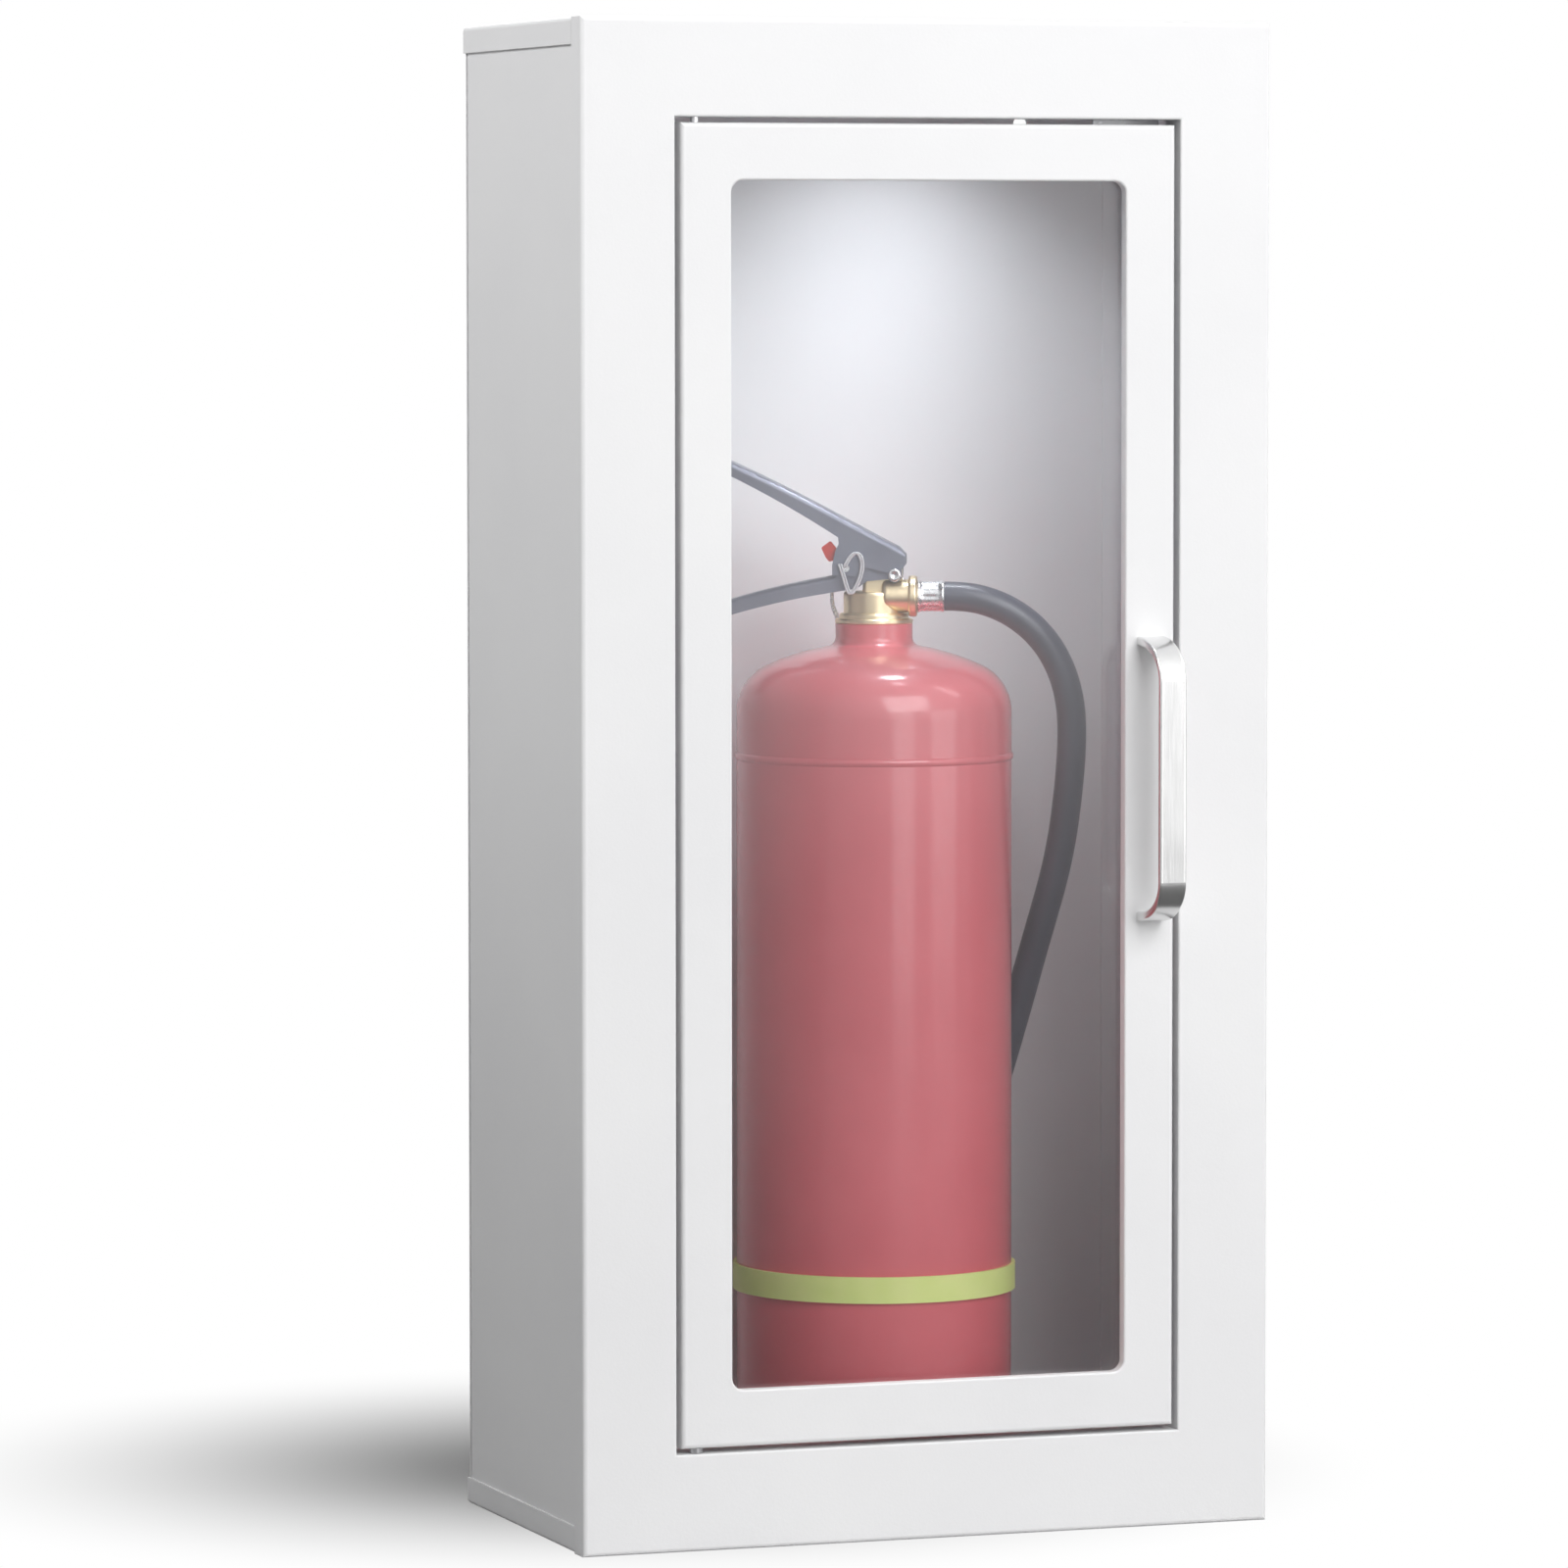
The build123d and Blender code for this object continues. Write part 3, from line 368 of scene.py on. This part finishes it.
POWDER_COAT = SolidFinish(
    "cabinet_paint", light=(0.84, 0.84, 0.845), dark=(0.80, 0.80, 0.81), metal=0.0,
    gloss=(0.38, 0.5), patch=6.0, grain=900.0, grain_depth=0.00004,
)
ZINC = SolidFinish(
    "bright_steel", light=(0.66, 0.66, 0.67), dark=(0.5, 0.5, 0.52), metal=1.0,
    gloss=(0.25, 0.42), patch=60.0, grain=400.0, grain_depth=0.00003, stretch=(1.0, 8.0, 1.0),
)
CATCH_PLASTIC = SolidFinish(
    "catch_plastic", light=(0.7, 0.7, 0.69), dark=(0.62, 0.62, 0.61), metal=0.0,
    gloss=(0.4, 0.55), patch=40.0, grain=900.0, grain_depth=0.00003,
)
ALUMINIUM = SolidFinish(
    "glazing_strip", light=(0.75, 0.75, 0.76), dark=(0.62, 0.62, 0.64), metal=1.0,
    gloss=(0.28, 0.45), patch=30.0, grain=500.0, grain_depth=0.00002, stretch=(1.0, 1.0, 0.05),
)
SATIN_NICKEL = SolidFinish(
    "handle_nickel", light=(0.80, 0.80, 0.80), dark=(0.74, 0.74, 0.74), metal=1.0,
    gloss=(0.2, 0.27), patch=40.0, grain=1400.0, grain_depth=0.000004, stretch=(1.0, 1.0, 0.04),
)
RED_ENAMEL = SolidFinish(
    "red_paint", light=(0.84, 0.17, 0.20), dark=(0.77, 0.135, 0.165), metal=0.0,
    gloss=(0.4, 0.5), patch=14.0, grain=260.0, grain_depth=0.00004, coat=1.0, coat_roughness=0.14,
    specular=0.6,
)
BRASS = SolidFinish(
    "valve_brass", light=(0.95, 0.80, 0.54), dark=(0.84, 0.68, 0.44), metal=1.0,
    gloss=(0.28, 0.42), patch=90.0, grain=900.0, grain_depth=0.00002,
)
CHROME = SolidFinish(
    "ferrule_steel", light=(0.88, 0.88, 0.89), dark=(0.78, 0.78, 0.80), metal=1.0,
    gloss=(0.22, 0.34), patch=80.0, grain=900.0, grain_depth=0.00001,
)
LEVER_STEEL = SolidFinish(
    "lever_steel", light=(0.27, 0.28, 0.34), dark=(0.20, 0.21, 0.265), metal=0.5,
    gloss=(0.34, 0.46), patch=50.0, grain=900.0, grain_depth=0.00003,
)
SEAL_RED = SolidFinish(
    "seal_plastic", light=(0.75, 0.05, 0.03), dark=(0.6, 0.03, 0.02), metal=0.0,
    gloss=(0.25, 0.4), patch=200.0, grain=900.0, grain_depth=0.00003,
)
SEAL_CORD = SolidFinish(
    "seal_cord", light=(0.78, 0.79, 0.82), dark=(0.68, 0.69, 0.72), metal=0.0,
    gloss=(0.15, 0.3), patch=200.0, grain=900.0, grain_depth=0.00003,
)
HOSE_RUBBER = SolidFinish(
    "hose_rubber", light=(0.062, 0.066, 0.104), dark=(0.046, 0.049, 0.080), metal=0.0,
    gloss=(0.34, 0.46), patch=50.0, grain=1100.0, grain_depth=0.00006, specular=0.8,
)
NOZZLE_PLASTIC = SolidFinish(
    "nozzle_plastic", light=(0.02, 0.02, 0.021), dark=(0.012, 0.012, 0.013), metal=0.0,
    gloss=(0.35, 0.5), patch=60.0, grain=800.0, grain_depth=0.00005,
)
STRAP_RUBBER = SolidFinish(
    "strap_rubber", light=(0.90, 1.0, 0.38), dark=(0.82, 0.96, 0.31), metal=0.0,
    gloss=(0.45, 0.6), patch=60.0, grain=900.0, grain_depth=0.00006, stretch=(1.0, 1.0, 3.0),
)
FINISHES: tuple[SolidFinish | PaneFinish, ...] = (
    POWDER_COAT, ZINC, CATCH_PLASTIC, ALUMINIUM, SATIN_NICKEL, RED_ENAMEL, BRASS, CHROME,
    LEVER_STEEL, SEAL_RED, SEAL_CORD, HOSE_RUBBER, NOZZLE_PLASTIC, STRAP_RUBBER, PaneFinish(),
)


class PaintShop:
    """Makes each finish once and dresses pieces with it by the slot's name."""

    def __init__(self) -> None:
        """Builds the materials."""
        self.shelf: dict[str, bpy.types.Material] = {
            finish.name: finish.make() for finish in FINISHES
        }

    def dress_frame(self, frame: dict) -> None:
        """Gives every node of the frame the finish of its slot.
        """
        slots = {part["node"]: part["material_slot"] for part in frame["record"]["subparts"]}
        for name, node in frame["nodes"].items():
            node.data.materials.clear()
            node.data.materials.append(self.shelf[slots[name]])
            LOG.info("%s is dressed as %s", name, slots[name])

    def dress(self, piece: bpy.types.Object, slot: str) -> None:
        """Gives a new piece a finish.

        Args:
            piece: The new piece.
            slot: Name of the finish, which is the slot's.
        """
        piece.data.materials.append(self.shelf[slot])


def seat(piece: bpy.types.Object) -> None:
    """Sets a finished piece on the cabinet's body. All the door's pieces come with the frame.

    Args:
        piece: The new piece.
    """
    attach(piece, "cabinet")
    LOG.info("%s rides on the cabinet", piece.name)


@dataclass(frozen=True)
class Lamp:
    """A flat soft lamp that faces a point.

    Attributes:
        name: The lamp's name.
        at: Where it hangs, in metres.
        aim: The point that it faces.
        size: Its width and height.
        power: Its power in watts.
        spread: Angle of its cone of light, in radians.
        tint: Linear colour of its light.
    """

    name: str
    at: Point
    aim: Point
    size: tuple[float, float]
    power: float
    spread: float = math.pi
    tint: Colour = (1.0, 1.0, 1.0)

    def build(self) -> None:
        """Makes the lamp and turns it to its point."""
        light = bpy.data.lights.new(self.name, "AREA")
        light.shape = "RECTANGLE"
        light.size, light.size_y = self.size
        light.energy = self.power
        light.spread = self.spread
        light.color = self.tint
        stand = bpy.data.objects.new(self.name, light)
        stand.location = self.at
        stand.rotation_mode = "QUATERNION"
        stand.rotation_quaternion = (Vector(self.aim) - Vector(self.at)).to_track_quat("-Z", "Y")
        bpy.context.scene.collection.objects.link(stand)


@dataclass
class Studio:
    """White sweep, soft lamps and the camera of the photograph.

    Attributes:
        lens: Focal length in millimetres.
        camera_at: Where the camera stands, in metres.
        pitch: Degrees that it looks down.
        yaw: Degrees that it is turned to the right.
        roll: Degrees that it is tilted.
        clip_end: How far the camera sees.
        floor_size: Side of the floor.
        floor_glow: Strength of the floor's own glow in the painted shadow.
        painted_shadow_grey: Grey painted on the floor round painted_shadow_at as a shadow.
        dull_grey: Grey of the floor as the cabinet is lit by it.
        dark_grey: Grey of the floor as gloss mirrors it near by.
        painted_shadow_at: Middle of the soft shadow painted on the floor.
        white_from: Distance from there at which the painted shadow starts to fade to white.
        white_to: Distance from there at which it is white.
        dim_from: Distance at which the mirrored floor starts to grow bright.
        dim_to: Distance at which it is white.
        ambient: Strength of the world as a light.
        lamps: The lamps.
    """

    lens: float = 186.52
    camera_at: Point = (-1.27944, -3.59839, 0.57068)
    pitch: float = 3.568
    yaw: float = 19.46
    roll: float = 0.037
    clip_end: float = 100.0
    floor_size: float = 60.0
    # The floor's grey round painted_shadow_at is a painted shadow, laid on top of the shadows that
    # the lamps cast.
    floor_glow: float = 0.02
    painted_shadow_grey: float = 0.24
    dull_grey: float = 0.5
    dark_grey: float = 0.12
    painted_shadow_at: Point = (-0.06, 0.09, 0.0)
    white_from: float = 0.0
    white_to: float = 0.37
    dim_from: float = 0.3
    dim_to: float = 8.0
    ambient: float = 0.09
    lamps: tuple[Lamp, ...] = (
        Lamp("key", at=(0.42, -2.6, 1.8), aim=(0.0, -0.1, 0.4), size=(1.8, 1.7), power=57.0),
        Lamp("panel_near", at=(0.2, -2.6, 0.5), aim=(0.2, 0.0, 0.5), size=(0.8, 0.94), power=5.8),
        Lamp("panel_far", at=(1.9, -2.35, 0.5), aim=(0.0, 0.0, 0.5), size=(1.2, 0.94), power=9.0),
        Lamp("left", at=(-1.2, -0.12, 1.5), aim=(-0.165, -0.1, 0.66), size=(0.6, 0.6), power=2.3,
             spread=1.2),
        Lamp("right", at=(1.9, -0.6, 2.2), aim=(0.0, -0.1, 0.2), size=(1.0, 1.0), power=20.0),
        Lamp("back", at=(0.9, 2.4, 1.3), aim=(0.0, 0.0, 0.35), size=(1.2, 1.2), power=16.0),
        Lamp("inside", at=(0.045, -0.115, 0.668), aim=(0.02, 0.0, 0.34), size=(0.045, 0.045),
             power=0.17, spread=1.85, tint=(0.92, 0.95, 1.0)),
    )

    def build(self) -> None:
        """Makes the camera, the lamps, the floor and the world."""
        self.make_camera()
        for lamp in self.lamps:
            lamp.build()
        self.make_floor()
        self.make_world()
        bpy.context.scene.view_settings.view_transform = "Standard"

    def make_camera(self) -> None:
        """Places the camera where the photograph was taken."""
        camera = bpy.data.objects.new("camera", bpy.data.cameras.new("camera"))
        camera.data.lens = self.lens
        camera.data.clip_end = self.clip_end
        camera.location = self.camera_at
        turns = (90 - self.pitch, self.roll, -self.yaw)
        camera.rotation_euler = [math.radians(turn) for turn in turns]
        bpy.context.scene.collection.objects.link(camera)
        bpy.context.scene.camera = camera

    def make_floor(self) -> None:
        """Lays the floor and paints it."""
        form = bmesh.new()
        bmesh.ops.create_grid(form, x_segments=1, y_segments=1, size=self.floor_size / 2)
        mesh = bpy.data.meshes.new("floor")
        form.to_mesh(mesh)
        form.free()
        floor = bpy.data.objects.new("floor", mesh)
        bpy.context.scene.collection.objects.link(floor)
        mesh.materials.append(self.floor_paint())

    def floor_paint(self) -> bpy.types.Material:
        """Paint of the floor: to the camera, a painted shadow round a point that fades to white,
        and dimmer to gloss and light.

        Returns:
            The new material.
        """
        material = bpy.data.materials.new("floor_white")
        material.use_nodes = True
        sheet = NodeSheet(material.node_tree)
        # Painted shadow: to the camera the floor is a grey matte near painted_shadow_at and fades
        # to white glow with distance.
        reach = sheet.add("ShaderNodeVectorMath", operation="DISTANCE")
        reach.inputs[1].default_value = self.painted_shadow_at
        sheet.link(sheet.place(), reach.inputs[0])
        away = reach.outputs["Value"]
        white = self.glow(sheet, 1.0)
        near = sheet.add("ShaderNodeAddShader")
        sheet.link(self.matte(sheet, self.painted_shadow_grey), near.inputs[0])
        sheet.link(self.glow(sheet, self.floor_glow), near.inputs[1])
        fade = sheet.span(away, 0.0, 1.0, self.white_from, self.white_to, Curve.SMOOTH)
        seen = sheet.mix(fade, near.outputs[0], white)
        dull = self.matte(sheet, self.dull_grey)
        dark = self.matte(sheet, self.dark_grey)
        mirrored = sheet.mix(sheet.span(away, 0.0, 1.0, self.dim_from, self.dim_to), dark, white)
        other = sheet.mix(sheet.rays((Rays.GLOSSY,)), dull, mirrored)
        sheet.close(sheet.mix(sheet.rays((Rays.CAMERA, Rays.TRANSMISSION)), other, seen))
        return material

    @staticmethod
    def matte(sheet: NodeSheet, grey: float) -> bpy.types.NodeSocket:
        """A matte grey.

        Args:
            sheet: The node tree to add to.
            grey: Linear grey.

        Returns:
            The shader's output.
        """
        shader = sheet.add("ShaderNodeBsdfDiffuse")
        shader.inputs["Color"].default_value = (grey, grey, grey, 1.0)
        return shader.outputs[0]

    @staticmethod
    def glow(sheet: NodeSheet, strength: float) -> bpy.types.NodeSocket:
        """An even white glow.

        Args:
            sheet: The node tree to add to.
            strength: 1 for white.

        Returns:
            The shader's output.
        """
        shader = sheet.add("ShaderNodeEmission")
        shader.inputs["Strength"].default_value = strength
        return shader.outputs[0]

    def make_world(self) -> None:
        """Makes the world white to the eye and to gloss, and softer as a light."""
        world = bpy.data.worlds.new("studio")
        bpy.context.scene.world = world
        world.use_nodes = True
        sheet = NodeSheet(world.node_tree)
        light = sheet.add("ShaderNodeBackground")
        light.inputs["Strength"].default_value = self.ambient
        white = sheet.add("ShaderNodeBackground")
        for shader in (light, white):
            shader.inputs["Color"].default_value = (1.0, 1.0, 1.0, 1.0)
        seen = sheet.rays((Rays.CAMERA, Rays.GLOSSY, Rays.TRANSMISSION))
        mixed = sheet.mix(seen, light.outputs[0], white.outputs[0])
        sheet.close(mixed, "ShaderNodeOutputWorld")


@dataclass(frozen=True)
class ValveSite:
    """Where the valve stands: its outlet's direction is turned from the cabinet's face.

    Attributes:
        axis: Place of the extinguisher's axis, in metres.
        turn: Degrees that the outlet is turned from X.
        collar_top: Height of the neck collar's top.
        rise: Height of the outlet above it.
        forward: Distance of the outlet's axis in front of the extinguisher's.
    """

    axis: tuple[float, float] = (0.004, -0.09)
    turn: float = -22.0
    collar_top: float = 0.4168
    rise: float = 0.0078
    forward: float = 0.006

    def place(self, x: float, y: float, z: float) -> Matrix:
        """Matrix that carries a form from the origin to a point given along the outlet.

        Args:
            x: Distance along the outlet.
            y: Distance behind it.
            z: Height above the collar.

        Returns:
            The matrix.
        """
        stand = Matrix.Translation((*self.axis, self.collar_top))
        turned = Matrix.Rotation(math.radians(self.turn), 4, "Z")
        return stand @ turned @ Matrix.Translation((x, y, z))


# Distances under which two points of a form become one
WELD = 1e-6
FINE_WELD = 1e-7


def turn_outline(form: bmesh.types.BMesh, outline: list[tuple[float, float]], steps: int) -> None:
    """Spins an outline of radius and height a full turn about Z.

    Args:
        form: The form to add to.
        outline: Radius and height of each point, from one end to the other.
        steps: Facets round the turn.
    """
    seeds = bmesh.ops.create_vert(form, co=(outline[0][0], 0.0, outline[0][1]))["vert"]
    edges = []
    for radius, height in outline[1:]:
        grown = bmesh.ops.extrude_vert_indiv(form, verts=seeds)
        seeds = grown["verts"]
        edges += grown["edges"]
        seeds[0].co = (radius, 0.0, height)
    line = edges + list({vert for edge in edges for vert in edge.verts})
    bmesh.ops.spin(form, geom=line, cent=(0, 0, 0), axis=(0, 0, 1), angle=math.tau, steps=steps,
                   use_merge=True)
    bmesh.ops.remove_doubles(form, verts=form.verts, dist=WELD)
    bmesh.ops.recalc_face_normals(form, faces=form.faces)


def settle(form: bmesh.types.BMesh, name: str, where: Matrix) -> bpy.types.Object:
    """Turns a form into an object whose place is in its mesh.

    Args:
        form: The form, which is freed.
        name: The object's name.
        where: Matrix to its place.

    Returns:
        The new object, shaded smooth.
    """
    bmesh.ops.transform(form, matrix=where, verts=form.verts)
    for face in form.faces:
        face.smooth = True
    mesh = bpy.data.meshes.new(name)
    form.to_mesh(mesh)
    form.free()
    piece = bpy.data.objects.new(name, mesh)
    bpy.context.scene.collection.objects.link(piece)
    return piece


@dataclass
class HoseFerrule:
    """Bright sleeve on the hose's end, crimped in flutes between two plain rims.

    Attributes:
        start: Distance of its valve end along the outlet, in metres.
        length: Its length.
        rim: Radius of the two rims.
        body: Radius between them.
        bore: Radius of its hole.
        rim_length: Length of each rim.
        soft: Size of the broken edges.
        flute_depth: Depth of the flutes.
        flute_power: How much narrower the flutes are than the lands between them.
        flutes: Number of flutes.
        rows: Rows of facets along the flutes.
        steps: Facets round it.
    """

    start: float = 0.0201
    length: float = 0.0125
    rim: float = 0.0074
    body: float = 0.00705
    bore: float = 0.0055
    rim_length: float = 0.0016
    soft: float = 0.0003
    flute_depth: float = 0.00038
    flute_power: int = 3
    flutes: int = 8
    rows: int = 6
    steps: int = 96

    def build(self, shop: PaintShop, site: ValveSite) -> bpy.types.Object:
        """Makes the sleeve.

        Args:
            shop: Where its finish comes from.
            site: Where the valve stands.

        Returns:
            The sleeve.
        """
        form = bmesh.new()
        low = self.rim_length
        high = self.length - low
        soft = self.soft
        waist = [(self.body, low + (high - low) * row / self.rows) for row in range(self.rows + 1)]
        outline = [
            (self.bore, 0.0), (self.rim - soft, 0.0), (self.rim, soft), (self.rim, low - soft),
            *waist,
            (self.rim, high + soft), (self.rim, self.length - soft),
            (self.rim - soft, self.length), (self.bore, self.length), (self.bore, 0.0),
        ]
        turn_outline(form, outline, self.steps)
        self.crimp(form, low, high)
        where = site.place(self.start, -site.forward, site.rise)
        sleeve = settle(form, "crimped_ferrule", where @ Matrix.Rotation(math.pi / 2, 4, "Y"))
        shop.dress(sleeve, CHROME.name)
        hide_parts("hose_ferrule")
        seat(sleeve)
        return sleeve

    def crimp(self, form: bmesh.types.BMesh, low: float, high: float) -> None:
        """Presses the flutes into the sleeve.

        Args:
            form: The sleeve.
            low: Height at which the flutes start.
            high: Height at which they end.
        """
        for vert in form.verts:
            reach = math.hypot(vert.co.x, vert.co.y)
            if low < vert.co.z < high and reach > (self.bore + self.body) / 2:
                wave = 0.5 + 0.5 * math.cos(self.flutes * math.atan2(vert.co.y, vert.co.x))
                factor = 1 - self.flute_depth * wave ** self.flute_power / reach
                vert.co.x *= factor
                vert.co.y *= factor


def lay_line(name: str, runs: list[list[Point]], radius: float, order: int, around: int,
             along: int) -> bpy.types.Object:
    """Lays a round line along smooth runs.

    Args:
        name: The object's name.
        runs: Control points of each run.
        radius: Radius of the line.
        order: Order of the smooth curve. A higher one rounds the corners more.
        around: Fineness of its round section.
        along: Steps between two control points.

    Returns:
        The line as a curve, which isn't in the scene yet.
    """
    line = bpy.data.curves.new(name, "CURVE")
    line.dimensions = "3D"
    line.bevel_depth = radius
    line.bevel_resolution = around
    line.resolution_u = along
    line.use_fill_caps = True
    for run in runs:
        spline = line.splines.new("NURBS")
        spline.points.add(len(run) - 1)
        for point, place in zip(spline.points, run):
            point.co = (*place, 1.0)
        spline.order_u = order
        spline.use_endpoint_u = True
    return bpy.data.objects.new(name, line)


def bend_wire(name: str, runs: list[list[Point]], wire: float, where: Matrix) -> bpy.types.Object:
    """Bends round wire along smooth runs and turns it into a mesh.

    Args:
        name: The object's name.
        runs: Control points of each run.
        wire: Radius of the wire.
        where: Matrix to its place.

    Returns:
        The wire, with its place in its mesh.
    """
    former = lay_line(name, runs, wire, order=4, around=3, along=6)
    line = former.data
    form = bmesh.new()
    form.from_mesh(former.to_mesh())
    former.to_mesh_clear()
    bpy.data.objects.remove(former)
    bpy.data.curves.remove(line)
    bmesh.ops.remove_doubles(form, verts=form.verts, dist=FINE_WELD)
    bmesh.ops.recalc_face_normals(form, faces=form.faces)
    return settle(form, name, where)


@dataclass
class SplitRing:
    """Ring of two coils of wire that meet in the safety pin's eye, hanging behind the neck.

    Attributes:
        centre: Place of its centre along the outlet, in metres.
        eye: Direction from there to the pin's eye.
        radius: Radius of the outer coil.
        wire: Radius of the wire.
        coils: Turns of the wire.
        gather: How much smaller the inner coil is. Both coils meet at the eye.
        pitch: Distance between the coils, in radii of the wire.
        steps: Points along the wire.
    """

    centre: Point = (-0.0026, 0.0199, 0.0054)
    eye: tuple[float, float] = (-0.5419, 0.8405)
    radius: float = 0.018085
    wire: float = 0.0007
    coils: float = 1.97
    gather: float = 0.0018
    pitch: float = 2.1
    steps: int = 72

    def build(self, shop: PaintShop, site: ValveSite) -> bpy.types.Object:
        """Makes the ring.

        Args:
            shop: Where its finish comes from.
            site: Where the valve stands.

        Returns:
            The ring.
        """
        run = []
        for step in range(self.steps + 1):
            share = step / self.steps
            angle = math.tau * self.coils * share
            inward = self.gather * share
            run.append(((self.radius - inward) * math.cos(angle) + inward * self.eye[0],
                        self.pitch * self.wire * self.coils * (share - 0.5),
                        (self.radius - inward) * math.sin(angle) + inward * self.eye[1]))
        ring = bend_wire("split_ring", [run], self.wire, site.place(*self.centre))
        shop.dress(ring, CHROME.name)
        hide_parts("pull_ring")
        seat(ring)
        return ring


@dataclass
class SealCord:
    """Doubled plastic cord of the seal, bent to a leaf in front of the levers.

    Attributes:
        forward: Distance in front of the extinguisher's axis, in metres.
        strand: Radius of a strand.
        spacing: Distance between the two strands.
        leaf: Points of the leaf, along the outlet and above the collar.
    """

    forward: float = 0.01395
    strand: float = 0.0005
    spacing: float = 0.0011
    leaf: tuple[tuple[float, float], ...] = (
        (-0.0152, 0.0228), (-0.0136, 0.0176), (-0.0122, 0.0128), (-0.0110, 0.0090),
        (-0.0096, 0.0092), (-0.0076, 0.0124), (-0.0056, 0.0172), (-0.0046, 0.0222),
        (-0.0054, 0.0264), (-0.0074, 0.0284), (-0.0098, 0.0270), (-0.0118, 0.0242),
        (-0.0130, 0.0210),
    )

    def build(self, shop: PaintShop, site: ValveSite) -> bpy.types.Object:
        """Makes the cord.

        Args:
            shop: Where its finish comes from.
            site: Where the valve stands.

        Returns:
            The cord.
        """
        half = self.spacing / 2
        runs = [[(x + side, -self.forward, z) for x, z in self.leaf] for side in (-half, half)]
        cord = bend_wire("seal_loop", runs, self.strand, site.place(0.0, 0.0, 0.0))
        shop.dress(cord, SEAL_CORD.name)
        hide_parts("seal_wire")
        seat(cord)
        return cord


@dataclass
class LeverRivet:
    """Tubular rivet of the squeeze lever: a rolled flat head with a dimple on each side.

    Attributes:
        x: Place along the outlet, in metres.
        z: Height above the collar.
        half: Distance from its middle to the underside of a head.
        head: Radius of a head.
        head_height: Height of a head.
        shank: Radius of the shank.
        dimple: Radius of the dimple.
        dimple_depth: Depth of the dimple.
        soft: Size of the broken edges.
        steps: Facets round it.
    """

    x: float = 0.0098
    z: float = 0.0177
    half: float = 0.0125
    head: float = 0.0029
    head_height: float = 0.0009
    shank: float = 0.0019
    dimple: float = 0.0011
    dimple_depth: float = 0.0006
    soft: float = 0.0003
    steps: int = 48

    def build(self, shop: PaintShop, site: ValveSite) -> bpy.types.Object:
        """Makes the rivet.

        Args:
            shop: Where its finish comes from.
            site: Where the valve stands.

        Returns:
            The rivet.
        """
        top = self.half + self.head_height
        floor = top - self.dimple_depth
        soft = self.soft
        side = [
            (0.0, floor), (self.dimple - soft, floor), (self.dimple + soft, top),
            (self.head - soft, top), (self.head, top - soft), (self.head, self.half + soft),
            (self.head - soft, self.half), (self.shank, self.half),
        ]
        other_side = [(radius, -height) for radius, height in reversed(side)]
        form = bmesh.new()
        turn_outline(form, side + other_side, self.steps)
        where = site.place(self.x, 0.0, self.z) @ Matrix.Rotation(math.pi / 2, 4, "X")
        rivet = settle(form, "tubular_rivet", where)
        shop.dress(rivet, CHROME.name)
        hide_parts("lever_rivet")
        seat(rivet)
        return rivet


@dataclass
class DischargeHose:
    """Smooth rubber hose from the ferrule, round the shoulder and down behind the cylinder.

    Attributes:
        diameter: Its outer diameter in metres.
        length: Its length, which is not used.
        route: Points of its middle line.
    """

    diameter: float = 0.0134
    length: float = 0.3747
    route: tuple[Point, ...] = (
        (0.03199, -0.10778, 0.4246),
        (0.0400, -0.1110, 0.4246),
        (0.0512, -0.1150, 0.4222),
        (0.0625, -0.1183, 0.4167),
        (0.0727, -0.1203, 0.4084),
        (0.0812, -0.1208, 0.3975),
        (0.0874, -0.1202, 0.3840),
        (0.0912, -0.1180, 0.3670),
        (0.0922, -0.1126, 0.3407),
        (0.0908, -0.1030, 0.3025),
        (0.0845, -0.0875, 0.2615),
        (0.0793, -0.0720, 0.2223),
        (0.0715, -0.0585, 0.1800),
        (0.06653, -0.0539, 0.1380),
        (0.06653, -0.0539, 0.0960),
    )

    def build(self, shop: PaintShop) -> bpy.types.Object:
        """Args:
            shop: Where its finish comes from.

        Returns:
            The hose.
        """
        hose = lay_line("rubber_hose", [list(self.route)], self.diameter / 2, order=3, around=8,
                        along=16)
        bpy.context.scene.collection.objects.link(hose)
        shop.dress(hose, HOSE_RUBBER.name)
        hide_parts("discharge_hose")
        seat(hose)
        return hose


def main() -> None:
    """Builds the studio, dresses the frame and adds the pieces of the scene."""
    logging.basicConfig(level=logging.INFO, format="%(name)s: %(message)s")
    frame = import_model()
    Studio().build()
    shop = PaintShop()
    DischargeHose().build(shop)
    site = ValveSite()
    HoseFerrule().build(shop, site)
    SplitRing().build(shop, site)
    SealCord().build(shop, site)
    LeverRivet().build(shop, site)
    shop.dress_frame(frame)


if __name__ == "__main__":
    main()
